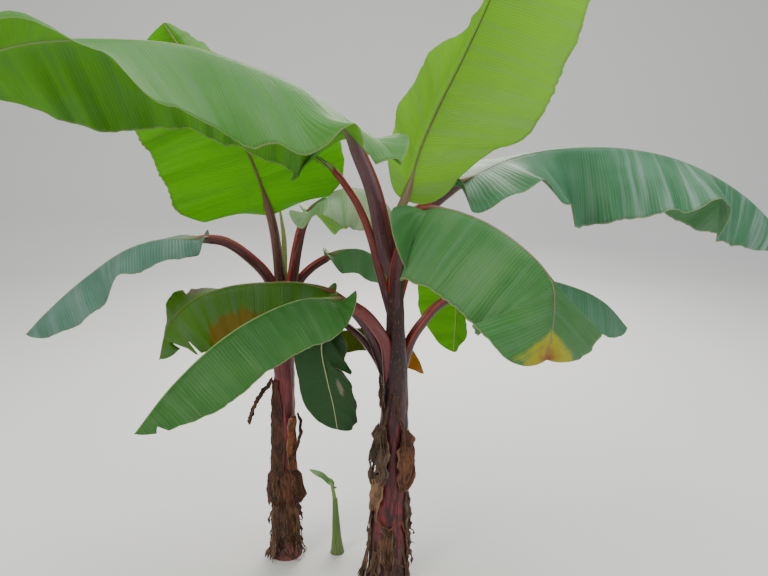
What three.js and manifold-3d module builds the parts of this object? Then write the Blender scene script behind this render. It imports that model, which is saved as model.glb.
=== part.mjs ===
// A young banana clump: two pseudostems from one root, the leaves of each, and the dry sheaths
// and strips that still hang on them. Millimetres, +Z up.
// The origin is on the ground, in the middle of the main stem's foot. The long leaf reaches
// towards -X, the right leaf towards +X, and -Y is the side from which both stems stand clear.

import * as THREE from 'three';
import { mergeVertices } from 'three/addons/utils/BufferGeometryUtils.js';
import Module from 'manifold-3d';

const wasm = await Module();
wasm.setup();

// Clear space between a stem and what grows out of it.
const GAP = 0.3;

// A leaf is this share of its blade's length thick, and no less than this many millimetres.
const BLADE_THICKNESS = 0.011;
const LEAST_THICKNESS = 2.5;

// A leaf's skin: rings along the petiole, the pitch and the most of the rings along the blade,
// and strips across each half.
const PETIOLE_RINGS = 7;
const BLADE_PITCH = 48;
const MOST_BLADE_RINGS = 19;
const HALF_STRIPS = 3;

// Above 1, the blade's rings stand closer together near its base.
const RING_CROWDING = 1.3;

// Where along a blade its tip starts to narrow, and the powers that round the tip off.
const TIP_START = 0.62;
const TIP_POWER = 2.2;
const TIP_BLUNTNESS = 0.8;

// How far the wings of a petiole stand up on each side of its channel, in degrees.
const CHANNEL_DEG = 38;

// The length of blade over which the channel opens into its two halves.
const CHANNEL_END = 45;

// A petiole's width at its foot and at the blade, against the width that its leaf gives.
const PETIOLE_TAPER = [1.15, 0.85];

// The keel under the rib: its depth at the blade's base against half the petiole's width, how
// much thicker than the blade it is at the tip, and the power by which it thins between them.
const KEEL_DEPTH = 1.5;
const KEEL_TIP = 3;
const KEEL_POWER = 0.6;

// How fast the thickness falls from the keel to the margin, along the petiole and on the blade.
const SECTION_POWER = [1, 6];

// The narrowest that half a leaf gets, at its tip.
const LEAST_HALF = 4;

// Steps in which a rib is measured.
const RIB_STEPS = 400;

// Strips across the width of a dry sheath.
const DRY_STRIPS = 4;

// Sides of a stem, the height of its rings, and where its flare at the foot ends.
const STEM_SIDES = 18;
const STEM_RING = 62;
const FLARE_TOP = 40;

// The lowest that anything hanging on a stem comes.
const LOWEST = 0.5;

// Points closer than this are one point when a skin becomes a solid.
const WELD = 1e-4;

// Each stem: where it stands, its radius at some heights, and how far its middle has leant.
const STEMS = {
  main: {
    node: 'main_stem',
    foot: [0, 0],
    top: 1165,
    radius: [[0, 74], [40, 64], [150, 59], [400, 51], [600, 45], [750, 40], [860, 33], [1060, 27],
      [1165, 20]],
    lean: [[0, 0, 0], [350, 12, 0], [700, 24, 0], [1165, 20, 4]],
    colour: 0x5b1f24,
  },
  second: {
    node: 'second_stem',
    foot: [-350, 145],
    top: 975,
    radius: [[0, 54], [40, 47], [200, 43], [500, 39], [800, 36], [905, 34], [975, 22]],
    lean: [[0, 0, 0], [500, 6, 0], [975, 16, 0]],
    colour: 0x8e2f39,
  },
  pup: {
    node: 'pup_stem',
    foot: [-175, 150],
    top: 205,
    radius: [[0, 25], [60, 18], [205, 10]],
    lean: [[0, 0, 0], [205, -5, 0]],
    colour: 0x7f9a4a,
  },
};

// Each leaf: the stem it grows from, stations of its rib from inside the stem to the tip, as
// [x, y, z] from that stem's foot, how many of those spans are petiole, the share of the blade
// over which its base widens, and the half widths left and right of the rib, seen from the stem.
// left and right say how far each half hangs below square to the rib, as [place along the blade,
// degrees at the rib, degrees at the margin]. sweep says how far the veins run back (negative) or
// forward on their way out, as [place, share of the width]. facing is the heading that the
// leaf's back looks to at its foot, where that isn't the way the leaf leaves the stem.
const LEAVES = [
  {
    node: 'main_leaf_long_left', stem: 'main', petiole: 2.3, petioleWidth: 44, base: 0.07,
    rib: [[0, 0, 1085], [-35, -25, 1260], [-75, -50, 1370], [-125, -80, 1480], [-210, -120, 1550],
      [-330, -180, 1605], [-500, -265, 1660], [-685, -350, 1670], [-855, -425, 1650], [-1010, -490, 1575]],
    half: [285, 265],
    left: [[0, 0, 12], [0.07, 6, 20], [0.14, 22, 36], [0.22, 26, 38], [0.32, 40, 56], [0.5, 52, 66],
      [0.65, 36, 50], [0.76, 8, 28], [0.86, -65, 40], [1, 0, 20]],
    right: [[0, 0, 10], [0.07, 20, 35], [0.2, 40, 55], [0.6, 42, 56], [0.8, 60, 74], [1, 40, 54]],
    sweep: [[0, -0.25], [0.1, -0.35], [0.2, -0.45], [0.45, -0.4], [0.7, -0.3], [1, 0]],
    colour: 0x6fa86b,
  },
  {
    node: 'main_leaf_upright', stem: 'main', petiole: 1.7, petioleWidth: 34, base: 0.3,
    rib: [[20, 5, 1070], [25, 5, 1180], [60, 15, 1270], [95, 40, 1385], [145, 70, 1500],
      [225, 118, 1655], [310, 172, 1835], [390, 232, 2045], [465, 292, 2270]],
    half: [195, 295], facing: 90,
    left: [[0, -20, -10], [0.1, -58, -50], [0.25, -70, -64], [0.4, -92, -86], [0.7, -98, -92],
      [1, -80, -70]],
    right: [[0, 0, 10], [0.4, 0, 10], [1, 0, 10]],
    sweep: [[0, 0.6], [0.25, 0.3], [0.5, 0.15], [1, 0.25]],
    colour: 0x9bc53d,
  },
  {
    node: 'main_leaf_long_right', stem: 'main', petiole: 2.7, petioleWidth: 40, base: 0.14,
    rib: [[20, 10, 1050], [40, 25, 1170], [125, 65, 1225], [225, 110, 1290], [380, 160, 1360],
      [560, 205, 1390], [775, 245, 1385], [985, 275, 1335], [1190, 295, 1225], [1370, 300, 1060]],
    half: [265, 265],
    left: [[0, 5, 15], [0.15, 5, 15], [0.3, 20, 34], [0.42, 45, 58], [0.6, 32, 46], [0.8, 45, 58],
      [1, 35, 50]],
    right: [[0, 4, 14], [0.05, 4, 14], [0.13, 0, 4], [0.22, 22, 36], [0.32, 66, 80], [0.42, 46, 60],
      [0.55, 26, 40], [0.66, 8, 20], [0.74, 42, 56], [1, 46, 60]],
    sweep: [[0, -0.5], [0.14, 0], [1, 0.1]],
    colour: 0x4a8a66,
  },
  {
    node: 'main_leaf_front', stem: 'main', petiole: 2.5, petioleWidth: 34, base: 0.1,
    rib: [[15, 0, 920], [25, -20, 1060], [70, -75, 1180], [130, -130, 1240], [245, -225, 1220],
      [345, -305, 1160], [410, -350, 1090], [425, -362, 1010], [412, -362, 870]],
    half: [250, 240],
    left: [[0, 40, 55], [0.4, 50, 62], [0.6, 35, 45], [0.74, -18, -9], [1, -30, -20]],
    right: [[0, 45, 60], [0.3, 60, 74], [0.6, 60, 70], [1, 15, 25]],
    sweep: [[0, -0.2], [0.3, -0.1], [0.7, 0.2], [1, 0.5]],
    colour: 0x4f8f4f,
  },
  {
    node: 'main_leaf_low_right', stem: 'main', petiole: 4.2, petioleWidth: 30, base: 0.15,
    rib: [[25, 10, 660], [50, 20, 755], [70, 30, 810], [105, 40, 860], [160, 60, 915],
      [290, 100, 975], [450, 135, 985], [605, 160, 945], [710, 170, 890], [790, 175, 805]],
    half: [110, 150],
    left: [[0, 10, 20], [0.3, 15, 25], [1, 20, 30]],
    right: [[0, 20, 30], [0.3, 55, 70], [1, 30, 45]],
    sweep: [[0, -0.2], [0.5, 0], [1, 0.5]],
    colour: 0x3d7a4a,
  },
  {
    node: 'main_leaf_back', stem: 'main', petiole: 2.5, petioleWidth: 28, base: 0.15,
    rib: [[20, 15, 860], [40, 45, 960], [75, 110, 1035], [135, 185, 1070], [195, 245, 1020],
      [235, 270, 890], [230, 270, 690]],
    half: [150, 95],
    left: [[0, 10, 20], [0.5, 15, 25], [1, 10, 20]],
    right: [[0, 20, 30], [0.5, 25, 35], [1, 10, 20]],
    sweep: [[0, -0.2], [0.3, 0], [1, 0.2]],
    colour: 0x7fbf26,
  },
  {
    node: 'main_leaf_front_left', stem: 'main', petiole: 3.6, petioleWidth: 32, base: 0.18,
    rib: [[5, 0, 690], [-5, -25, 805], [-40, -70, 885], [-85, -115, 945], [-150, -160, 985],
      [-240, -225, 1000], [-345, -310, 975], [-445, -385, 920], [-545, -450, 830], [-625, -505, 730]],
    half: [152, 140],
    left: [[0, 30, 40], [0.2, 50, 62], [0.6, 50, 62], [1, 30, 42]],
    right: [[0, 40, 50], [0.2, 60, 72], [0.6, 64, 76], [1, 40, 52]],
    sweep: [[0, 0], [1, 0.1]],
    colour: 0x4f8f4f,
  },
  {
    node: 'main_leaf_yellowing', stem: 'main', petiole: 4.0, petioleWidth: 30, base: 0.15,
    rib: [[5, 5, 680], [-20, 10, 760], [-55, 10, 845], [-100, 10, 905], [-160, 10, 955],
      [-245, 0, 995], [-370, -10, 1000], [-490, -10, 985], [-600, -5, 940], [-675, 0, 855],
      [-705, -5, 755]],
    half: [175, 110],
    left: [[0, 20, 34], [0.2, 60, 74], [0.6, 65, 79], [1, 40, 54]],
    right: [[0, 20, 34], [0.2, 45, 60], [0.6, 50, 64], [1, 35, 50]],
    sweep: [[0, -0.2], [0.3, 0], [1, 0.1]],
    colour: 0x7c7a1e,
  },
  {
    node: 'main_leaf_hanging', stem: 'main', petiole: 3.6, petioleWidth: 24, base: 0.35,
    rib: [[5, 10, 645], [-30, 25, 735], [-85, 45, 810], [-150, 60, 855], [-190, 70, 835],
      [-205, 70, 765], [-190, 60, 670], [-172, 60, 580], [-160, 55, 498]],
    half: [100, 165], facing: 270,
    left: [[0, 15, 25], [0.5, 15, 30], [1, 10, 20]],
    right: [[0, 15, 25], [0.5, 15, 30], [1, 10, 20]],
    sweep: [[0, 0.3], [0.5, 0.2], [1, 0.2]],
    colour: 0x3f6b35,
  },
  {
    node: 'main_leaf_narrow', stem: 'main', petiole: 5.0, petioleWidth: 22, base: 0.2,
    rib: [[8, 4, 920], [-22, 0, 1032], [-46, -6, 1130], [-80, -5, 1220], [-125, 15, 1290],
      [-155, 32, 1325], [-185, 48, 1350], [-215, 60, 1368], [-240, 68, 1378]],
    half: [26, 26],
    left: [[0, 20, 30], [1, 10, 20]],
    right: [[0, 20, 30], [1, 10, 20]],
    sweep: [[0, 0], [1, 0.1]],
    colour: 0x8fbf3a,
  },
  {
    node: 'second_leaf_upright', stem: 'second', petiole: 3.2, petioleWidth: 36, base: 0.2,
    rib: [[10, 0, 880], [5, -5, 985], [0, -15, 1075], [-10, -25, 1160], [-40, -40, 1290],
      [-95, -50, 1430], [-165, -55, 1560], [-240, -60, 1655], [-300, -60, 1745]],
    half: [270, 275], facing: 270,
    left: [[0, 5, 10], [0.25, -8, -14], [0.42, -58, -66], [0.7, -84, -92], [1, -84, -92]],
    right: [[0, 5, 10], [0.5, 0, 0], [1, -5, -10]],
    sweep: [[0, -0.1], [0.3, 0.08], [1, 0.2]],
    colour: 0x6fa52a,
  },
  {
    node: 'second_leaf_arching', stem: 'second', petiole: 3.2, petioleWidth: 32, base: 0.12,
    rib: [[22, -4, 880], [44, -8, 1000], [60, -5, 1085], [85, -10, 1165], [140, -15, 1230],
      [215, -15, 1265], [295, -15, 1255], [355, -10, 1205], [390, -5, 1115]],
    half: [150, 150],
    left: [[0, 45, 60], [0.3, 55, 70], [1, 40, 50]],
    right: [[0, 0, 0], [0.15, 5, 5], [0.35, 40, 55], [1, 35, 50]],
    sweep: [[0, -0.5], [0.2, -0.1], [1, 0.1]],
    colour: 0x86b65a,
  },
  {
    node: 'second_leaf_low_right', stem: 'second', petiole: 3.0, petioleWidth: 28, base: 0.15,
    rib: [[18, 12, 860], [54, 14, 955], [95, 15, 1005], [150, 22, 1040], [215, 30, 1065],
      [275, 40, 1060], [335, 48, 1015], [375, 52, 945]],
    half: [90, 90],
    left: [[0, 35, 47], [0.5, 50, 62], [1, 30, 42]],
    right: [[0, 35, 47], [0.5, 55, 67], [1, 30, 42]],
    sweep: [[0, -0.2], [0.3, 0], [1, 0.2]],
    colour: 0x7aa860,
  },
  {
    node: 'second_leaf_left', stem: 'second', petiole: 3.6, petioleWidth: 32, base: 0.32,
    rib: [[0, -8, 880], [-20, -8, 975], [-80, -20, 1050], [-155, -35, 1105], [-240, -45, 1115],
      [-350, -60, 1115], [-465, -75, 1080], [-595, -95, 990], [-700, -105, 900], [-775, -110, 825]],
    half: [150, 140],
    left: [[0, 5, 15], [0.15, 12, 22], [0.3, 20, 32], [0.42, 12, 24], [0.6, 34, 46], [1, 30, 40]],
    right: [[0, 0, 8], [0.5, 10, 20], [1, 25, 35]],
    sweep: [[0, -0.2], [0.3, 0], [1, 0.1]],
    colour: 0x5c8f7c,
  },
  {
    node: 'second_leaf_low_back', stem: 'second', petiole: 2.4, petioleWidth: 26, base: 0.15,
    rib: [[5, 5, 780], [50, 20, 845], [110, 25, 840], [175, 25, 795], [260, 25, 805],
      [340, 15, 800], [405, 5, 770], [450, -5, 710], [470, -10, 660]],
    half: [75, 80],
    left: [[0, 35, 45], [0.5, 40, 50], [1, 20, 30]],
    right: [[0, 45, 55], [0.5, 55, 65], [1, 20, 30]],
    sweep: [[0, -0.2], [0.3, 0], [1, 0.2]],
    colour: 0x8a8a2a,
  },
  {
    node: 'pup_leaf', stem: 'pup', petiole: 1.5, petioleWidth: 13, base: 0.3,
    rib: [[-4, 0, 150], [-6, 0, 215], [-18, -4, 265], [-46, -10, 305], [-88, -18, 322]],
    half: [34, 34],
    left: [[0, 10, 20], [1, 10, 20]],
    right: [[0, 10, 20], [1, 10, 20]],
    sweep: [[0, 0], [1, 0.2]],
    colour: 0x5f9a3a,
  },
];

// Each dry sheath or strip that hangs on a stem: how thick it is, and stations of its middle line
// from the top down, as [height, heading from the stem's middle in degrees, half width, clear
// space to the stem at the middle line, the same at both edges].
const DRY_PARTS = [
  {
    node: 'main_dry_sheath_left', stem: 'main', thick: 3.5, colour: 0x6b4a3a,
    line: [[550, 222, 16, 1, 2], [505, 220, 34, 9, 12], [445, 218, 42, 24, 15],
      [385, 220, 38, 14, 18], [330, 226, 18, 2, 5]],
  },
  {
    node: 'main_dry_sheath_right', stem: 'main', thick: 3.5, colour: 0x8a5a3c,
    line: [[530, 318, 15, 1, 2], [485, 322, 34, 8, 12], [430, 322, 42, 20, 13],
      [375, 318, 36, 12, 18], [335, 312, 16, 2, 5]],
  },
  {
    node: 'main_dry_strip_long', stem: 'main', thick: 5, colour: 0xb08560,
    line: [[425, 183, 9, 3, 3], [370, 184, 14, 9, 8], [300, 188, 11, 4, 5], [210, 190, 10, 3, 4],
      [130, 190, 12, 5, 6],
      [60, 193, 20, 9, 14], [14, 196, 26, 18, 24]],
  },
  {
    node: 'main_dry_strip_right', stem: 'main', thick: 4, colour: 0x8a5a3c,
    line: [[320, 330, 10, 2, 3], [250, 334, 15, 5, 7], [170, 332, 12, 3, 6], [95, 336, 6, 2, 3]],
  },
  {
    node: 'main_dry_flap', stem: 'main', thick: 4, colour: 0x6b4a3a,
    line: [[720, 214, 5, 15, 15], [680, 215, 10, 7, 8], [610, 218, 12, 1, 2]],
  },
  {
    node: 'second_petiole_stub', stem: 'second', thick: 11, colour: 0x9a5a30,
    line: [[532, 300, 8, 36, 35], [520, 302, 14, 20, 18], [470, 305, 17, 7, 6], [400, 306, 18, 2, 3],
      [335, 304, 14, 1, 1]],
  },
  {
    node: 'second_dry_collar_left', stem: 'second', thick: 3.5, colour: 0x7a5238,
    line: [[325, 225, 16, 1, 2], [290, 224, 36, 9, 12], [240, 226, 38, 12, 20], [205, 228, 18, 6, 10]],
  },
  {
    node: 'second_dry_collar_right', stem: 'second', thick: 3.5, colour: 0x8a5a3c,
    line: [[318, 330, 16, 1, 2], [280, 330, 34, 8, 12], [235, 326, 36, 10, 20], [205, 322, 14, 6, 10]],
  },
  {
    node: 'second_dry_strip_left', stem: 'second', thick: 3.5, colour: 0xb08560,
    line: [[198, 232, 9, 2, 3], [150, 228, 14, 6, 9], [95, 230, 12, 3, 7], [45, 226, 18, 8, 14],
      [12, 224, 24, 14, 22]],
  },
  {
    node: 'second_dry_strip_right', stem: 'second', thick: 3.5, colour: 0xb08560,
    line: [[198, 310, 9, 2, 3], [150, 314, 13, 6, 8], [90, 316, 10, 3, 6], [30, 322, 16, 10, 16]],
  },
  {
    node: 'second_dry_leaf', stem: 'second', thick: 4, colour: 0x4a3a30,
    line: [[640, 186, 7, 1, 1], [615, 185, 9, 12, 12], [590, 184, 12, 34, 33], [555, 183, 15, 56, 54],
      [515, 183, 13, 70, 68], [490, 183, 5, 74, 74]],
  },
];

// The rolled young leaf that stands on the second stem, as [x, y, z, radius] from that stem's foot.
const SPEAR = {
  node: 'second_spear',
  stem: 'second',
  line: [[17, 6, 975.3, 12], [20, 12, 1030, 11], [20, 18, 1100, 9], [14, 20, 1160, 6], [6, 20, 1215, 2]],
  sides: 8,
  colour: 0xc9d8a0,
};

// The value of a row of [at, value] pairs at x, in straight runs between them.
function along(pairs, x, column = 1) {
  if (x <= pairs[0][0]) {
    return pairs[0][column];
  }
  for (let i = 1; i < pairs.length; i += 1) {
    if (x <= pairs[i][0]) {
      const share = (x - pairs[i - 1][0]) / (pairs[i][0] - pairs[i - 1][0]);
      return THREE.MathUtils.lerp(pairs[i - 1][column], pairs[i][column], share);
    }
  }
  return pairs[pairs.length - 1][column];
}

// A column of a row of [at, value, ...] entries at x, with a smooth change between entries.
function easing(entries, x, column = 1) {
  const next = entries.findIndex(([at]) => x <= at);
  if (next <= 0) {
    return next === 0 ? entries[0][column] : entries[entries.length - 1][column];
  }
  const share = THREE.MathUtils.smoothstep(x, entries[next - 1][0], entries[next][0]);
  return THREE.MathUtils.lerp(entries[next - 1][column], entries[next][column], share);
}

// A closed skin over rings with the same number of points. Each ring's first half runs one way
// across and its second half runs back, so a cap is a strip between the two.
function skin(rings) {
  const count = rings[0].length;
  const positions = rings.flat().flatMap((p) => [p.x, p.y, p.z]);
  const faces = [];
  for (let r = 0; r + 1 < rings.length; r += 1) {
    for (let k = 0; k < count; k += 1) {
      const a = r * count + k;
      const b = r * count + ((k + 1) % count);
      faces.push(a, b, b + count, a, b + count, a + count);
    }
  }
  const last = (rings.length - 1) * count;
  for (let k = 0; k + 1 < count / 2; k += 1) {
    const across = count - 1 - k;
    if (k + 2 < count / 2 || across - 1 > k + 1) {
      faces.push(k, across, k + 1, k + 1, across, across - 1);
      faces.push(last + k, last + k + 1, last + across, last + k + 1, last + across - 1, last + across);
    }
  }
  const geometry = new THREE.BufferGeometry();
  geometry.setAttribute('position', new THREE.Float32BufferAttribute(positions, 3));
  geometry.setIndex(faces);
  return geometry;
}

// A stem as a stack of rings, standing proud of its own surface by extra all round.
function stemGeometry(stem, extra = 0) {
  const rings = [];
  const steps = Math.round(stem.top / STEM_RING);
  const heights = [0, FLARE_TOP];
  for (let i = 2; i <= steps; i += 1) {
    heights.push((i / steps) * stem.top);
  }
  heights.forEach((height, i) => {
    const radius = along(stem.radius, height) + extra;
    const z = height + endShift(i, heights.length, extra);
    const ring = [];
    for (let k = 0; k < STEM_SIDES; k += 1) {
      const turn = (k / STEM_SIDES) * 2 * Math.PI;
      ring.push(new THREE.Vector3(
        stem.foot[0] + along(stem.lean, height, 1) + radius * Math.cos(turn),
        stem.foot[1] + along(stem.lean, height, 2) + radius * Math.sin(turn),
        z,
      ));
    }
    rings.push(ring);
  });
  return skin(rings);
}

// The frames of a leaf from its first ring to its tip: a point on the rib, the way the rib
// runs, the way to the left half, and the way that the upper face looks.
function ribFrames(leaf) {
  const foot = STEMS[leaf.stem].foot;
  const stations = leaf.rib.map(([x, y, z]) => new THREE.Vector3(foot[0] + x, foot[1] + y, z));
  const curve = new THREE.CatmullRomCurve3(stations, false, 'catmullrom', 0.5);
  const bladeStart = leaf.petiole / (leaf.rib.length - 1);
  const lengths = curve.getLengths(RIB_STEPS);
  const total = lengths[RIB_STEPS];
  const start = lengths[Math.round(bladeStart * RIB_STEPS)] / total;
  const out = stations[2].clone().sub(stations[0]).setZ(0).normalize();
  if (leaf.facing !== undefined) {
    const facing = THREE.MathUtils.degToRad(leaf.facing);
    out.set(Math.cos(facing), Math.sin(facing), 0);
  }
  let side = new THREE.Vector3(0, 0, 1).cross(out);
  const bladeRings = Math.min(Math.ceil((total * (1 - start)) / BLADE_PITCH), MOST_BLADE_RINGS);
  const frames = [];
  for (let i = 0; i <= PETIOLE_RINGS + bladeRings; i += 1) {
    const blade = Math.max(0, (i - PETIOLE_RINGS) / bladeRings);
    const onPetiole = i < PETIOLE_RINGS;
    const onBlade = start + (1 - start) * Math.pow(blade, RING_CROWDING);
    const u = onPetiole ? (start * i) / PETIOLE_RINGS : onBlade;
    const run = curve.getTangentAt(Math.min(u, 1));
    side = side.clone().addScaledVector(run, -side.dot(run)).normalize();
    frames.push({
      point: curve.getPointAt(Math.min(u, 1)),
      run,
      side,
      up: run.clone().cross(side),
      blade: onPetiole ? 0 : (u - start) / (1 - start),
      petiole: Math.min(1, u / start),
    });
  }
  return { frames, bladeLength: total * (1 - start) };
}

// The half width of a blade as a share of its widest, along the blade from 0 to 1.
function outline(leaf, share) {
  const base = Math.sqrt(1 - Math.pow(1 - Math.min(share / leaf.base, 1), 2));
  const past = Math.max(share - TIP_START, 0) / (1 - TIP_START);
  const tip = Math.pow(1 - Math.pow(past, TIP_POWER), TIP_BLUNTNESS);
  return base * tip;
}

// One ring of a leaf's skin: the upper face from left to right, then the lower face back.
function leafRing(leaf, frame, bladeLength, grow) {
  const { point, run, side, up, blade } = frame;
  const spread = THREE.MathUtils.smoothstep(blade * bladeLength, 0, CHANNEL_END);
  const taper = THREE.MathUtils.lerp(...PETIOLE_TAPER, frame.petiole);
  const petioleHalf = (leaf.petioleWidth / 2) * taper;
  const thickness = Math.max(bladeLength * BLADE_THICKNESS, LEAST_THICKNESS);
  const thinned = Math.pow(blade, KEEL_POWER);
  const keel = THREE.MathUtils.lerp(petioleHalf * KEEL_DEPTH, thickness + KEEL_TIP, thinned);
  const upper = [];
  const lower = [];
  for (const sign of [1, -1]) {
    const widest = leaf.half[sign > 0 ? 0 : 1];
    const half = Math.max(widest * outline(leaf, blade), petioleHalf * (1 - blade), LEAST_HALF);
    const hang = sign > 0 ? leaf.left : leaf.right;
    const atRib = THREE.MathUtils.lerp(-CHANNEL_DEG, easing(hang, blade, 1), spread);
    const atMargin = THREE.MathUtils.lerp(-CHANNEL_DEG, easing(hang, blade, 2), spread);
    const edge = Math.min(thickness, half * 0.5);
    const top = point.clone().addScaledVector(up, grow);
    const sweep = easing(leaf.sweep, blade) * spread;
    for (let k = 0; k <= HALF_STRIPS; k += 1) {
      const v = k / HALF_STRIPS;
      const midStrip = Math.max(v - 0.5 / HALF_STRIPS, 0);
      const angle = THREE.MathUtils.degToRad(THREE.MathUtils.lerp(atRib, atMargin, midStrip));
      const away = side.clone().multiplyScalar(sign);
      const out = away.clone().multiplyScalar(Math.cos(angle)).addScaledVector(up, -Math.sin(angle));
      const normal = away.clone().multiplyScalar(Math.sin(angle)).addScaledVector(up, Math.cos(angle));
      if (k > 0) {
        top.addScaledVector(out, (half + grow) / HALF_STRIPS);
        top.addScaledVector(run, (sweep * half) / HALF_STRIPS);
      }
      const fall = Math.pow(1 - v, THREE.MathUtils.lerp(...SECTION_POWER, spread));
      const thick = THREE.MathUtils.lerp(edge, keel, fall) + 2 * grow;
      const under = top.clone().addScaledVector(k === 0 ? up : normal, -thick);
      if (k === 0 && sign < 0) {
        continue;
      }
      if (sign > 0) {
        upper.unshift(top.clone());
        lower.push(under);
      } else {
        upper.push(top.clone());
        lower.unshift(under);
      }
    }
  }
  return [...upper, ...lower];
}

// How far the ring of that number stands past its own place, so that a grown solid has its first
// ring and its last further out as well.
function endShift(number, count, extra) {
  if (number === 0) {
    return -extra;
  }
  return number === count - 1 ? extra : 0;
}

// A leaf from inside its stem to its tip. With grow it stands that far out of itself all round.
function leafGeometry(leaf, grow = 0) {
  const { frames, bladeLength } = ribFrames(leaf);
  return skin(frames.map((frame) => leafRing(leaf, frame, bladeLength, grow)));
}

// A rolled leaf as a tapering stack of rings.
function spearGeometry(spear, extra = 0) {
  const foot = STEMS[spear.stem].foot;
  return skin(spear.line.map(([x, y, z, radius], i) => {
    const end = endShift(i, spear.line.length, extra);
    const ring = [];
    for (let k = 0; k < spear.sides; k += 1) {
      const turn = (k / spear.sides) * 2 * Math.PI;
      ring.push(new THREE.Vector3(
        foot[0] + x + (radius + extra) * Math.cos(turn),
        foot[1] + y + (radius + extra) * Math.sin(turn),
        z + end,
      ));
    }
    return ring;
  }));
}

// A dry sheath or strip as a plate bent round its stem, standing out by extra all round.
function dryGeometry(dry, extra = 0) {
  const stem = STEMS[dry.stem];
  const rings = dry.line.map(([height, heading, half, middle, edge], i) => {
    const z = Math.max(height - endShift(i, dry.line.length, extra), LOWEST);
    const foot = [stem.foot[0] + along(stem.lean, z, 1), stem.foot[1] + along(stem.lean, z, 2)];
    const radius = along(stem.radius, z);
    const outer = [];
    const inner = [];
    for (let k = 0; k <= DRY_STRIPS; k += 1) {
      const across = 1 - (2 * k) / DRY_STRIPS;
      const clear = THREE.MathUtils.lerp(middle, edge, across * across);
      const turn = THREE.MathUtils.degToRad(heading) + (across * (half + extra)) / (radius + clear);
      const outwards = new THREE.Vector3(Math.cos(turn), Math.sin(turn), 0);
      const middleLine = new THREE.Vector3(foot[0], foot[1], z);
      outer.push(middleLine.clone().addScaledVector(outwards, radius + clear + dry.thick + extra));
      inner.unshift(middleLine.clone().addScaledVector(outwards, radius + clear - extra));
    }
    return [...outer, ...inner];
  });
  return skin(rings);
}

// A geometry as a solid for cutting and joining.
function solidOf(geometry) {
  const bare = geometry.clone();
  bare.deleteAttribute('normal');
  bare.deleteAttribute('uv');
  const merged = mergeVertices(bare, WELD);
  const solid = new wasm.Manifold(new wasm.Mesh({
    numProp: 3,
    vertProperties: new Float32Array(merged.attributes.position.array),
    triVerts: new Uint32Array(merged.index.array),
  }));
  if (solid.volume() < 0) {
    throw new Error('a skin is inside out');
  }
  return solid;
}

// The largest piece of a solid as a geometry, without the scraps that a cut leaves.
function largest(solid) {
  const pieces = solid.decompose();
  pieces.sort((a, b) => b.volume() - a.volume());
  const mesh = pieces[0].getMesh();
  const geometry = new THREE.BufferGeometry();
  geometry.setAttribute('position', new THREE.Float32BufferAttribute(mesh.vertProperties, 3));
  geometry.setIndex([...mesh.triVerts]);
  return geometry;
}

function material(colour, roughness) {
  return new THREE.MeshStandardMaterial({ color: colour, roughness, metalness: 0 });
}

const plant = new THREE.Group();

function add(node, geometry, colour, roughness) {
  const mesh = new THREE.Mesh(geometry, material(colour, roughness));
  mesh.name = node;
  plant.add(mesh);
}

// Each part so far as a solid, with the same solid standing out by the gap all round.
const placed = [];

// Adds a part, cut clear of the parts before it where it would touch them.
function grow(part, shape, roughness) {
  let solid = solidOf(shape(0));
  for (const other of placed) {
    if (solid.intersect(other.wide).volume() > 0) {
      solid = solid.subtract(other.wide);
    }
  }
  placed.push({ wide: solidOf(shape(GAP)) });
  add(part.node, largest(solid), part.colour, roughness);
}

for (const stem of Object.values(STEMS)) {
  grow(stem, (extra) => stemGeometry(stem, extra), 0.55);
}

for (const leaf of LEAVES) {
  grow(leaf, (extra) => leafGeometry(leaf, extra), 0.5);
}

grow(SPEAR, (extra) => spearGeometry(SPEAR, extra), 0.5);

for (const dry of DRY_PARTS) {
  grow(dry, (extra) => dryGeometry(dry, extra), 0.9);
}

export default plant;
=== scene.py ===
"""Looks of a young banana clump: two maroon pseudostems and a pup from one root.

Every size is in millimetres in the plant's own frame, +Z up, with the origin on the
ground in the middle of the main pseudostem's foot. Meshes are turned to metres once.
"""

from __future__ import annotations

import logging
import math
from dataclasses import dataclass, field
from enum import Enum
from typing import Iterable, Sequence

import bpy
import numpy as np
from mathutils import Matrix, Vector


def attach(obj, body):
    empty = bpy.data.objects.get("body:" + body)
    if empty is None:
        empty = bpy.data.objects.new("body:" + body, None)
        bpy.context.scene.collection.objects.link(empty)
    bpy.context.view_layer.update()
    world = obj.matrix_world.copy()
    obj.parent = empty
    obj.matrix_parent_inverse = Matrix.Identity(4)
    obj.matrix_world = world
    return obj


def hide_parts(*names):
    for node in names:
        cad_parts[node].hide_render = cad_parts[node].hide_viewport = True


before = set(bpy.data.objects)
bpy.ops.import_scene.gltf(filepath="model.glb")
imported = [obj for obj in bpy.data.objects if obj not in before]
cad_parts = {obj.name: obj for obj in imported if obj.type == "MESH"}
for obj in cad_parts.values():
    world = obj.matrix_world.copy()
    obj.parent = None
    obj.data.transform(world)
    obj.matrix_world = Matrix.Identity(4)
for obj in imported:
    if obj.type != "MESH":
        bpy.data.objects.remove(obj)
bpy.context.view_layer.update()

"""The box round the part's solids, in metres, before anything is dressed."""

LOG = logging.getLogger("banana_clump")

MM = 0.001
"""Metres in a millimetre."""

Table = Sequence[Sequence[float]]
"""Rows of [place, value, ...] that are read between their places."""

CHANNEL_DEG = 38.0
"""How steeply a petiole's wings stand up beside its channel."""
CHANNEL_END = 45.0
"""How far into the blade the channel opens out."""
TIP_START = 0.62
"""Where along a blade its outline starts to draw in."""
ROLL = 0.18
"""The share of a half, beside the rib, over which it rolls down from level."""
TAIL, TAIL_ROWS = 120.0, 10
"""How far a petiole's foot runs on down inside its stem, and in how many rings."""
BLADE_THICKNESS, LEAST_THICKNESS = 0.011, 2.5
"""A blade's solid, as a share of its length, and the least that it has."""


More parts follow.
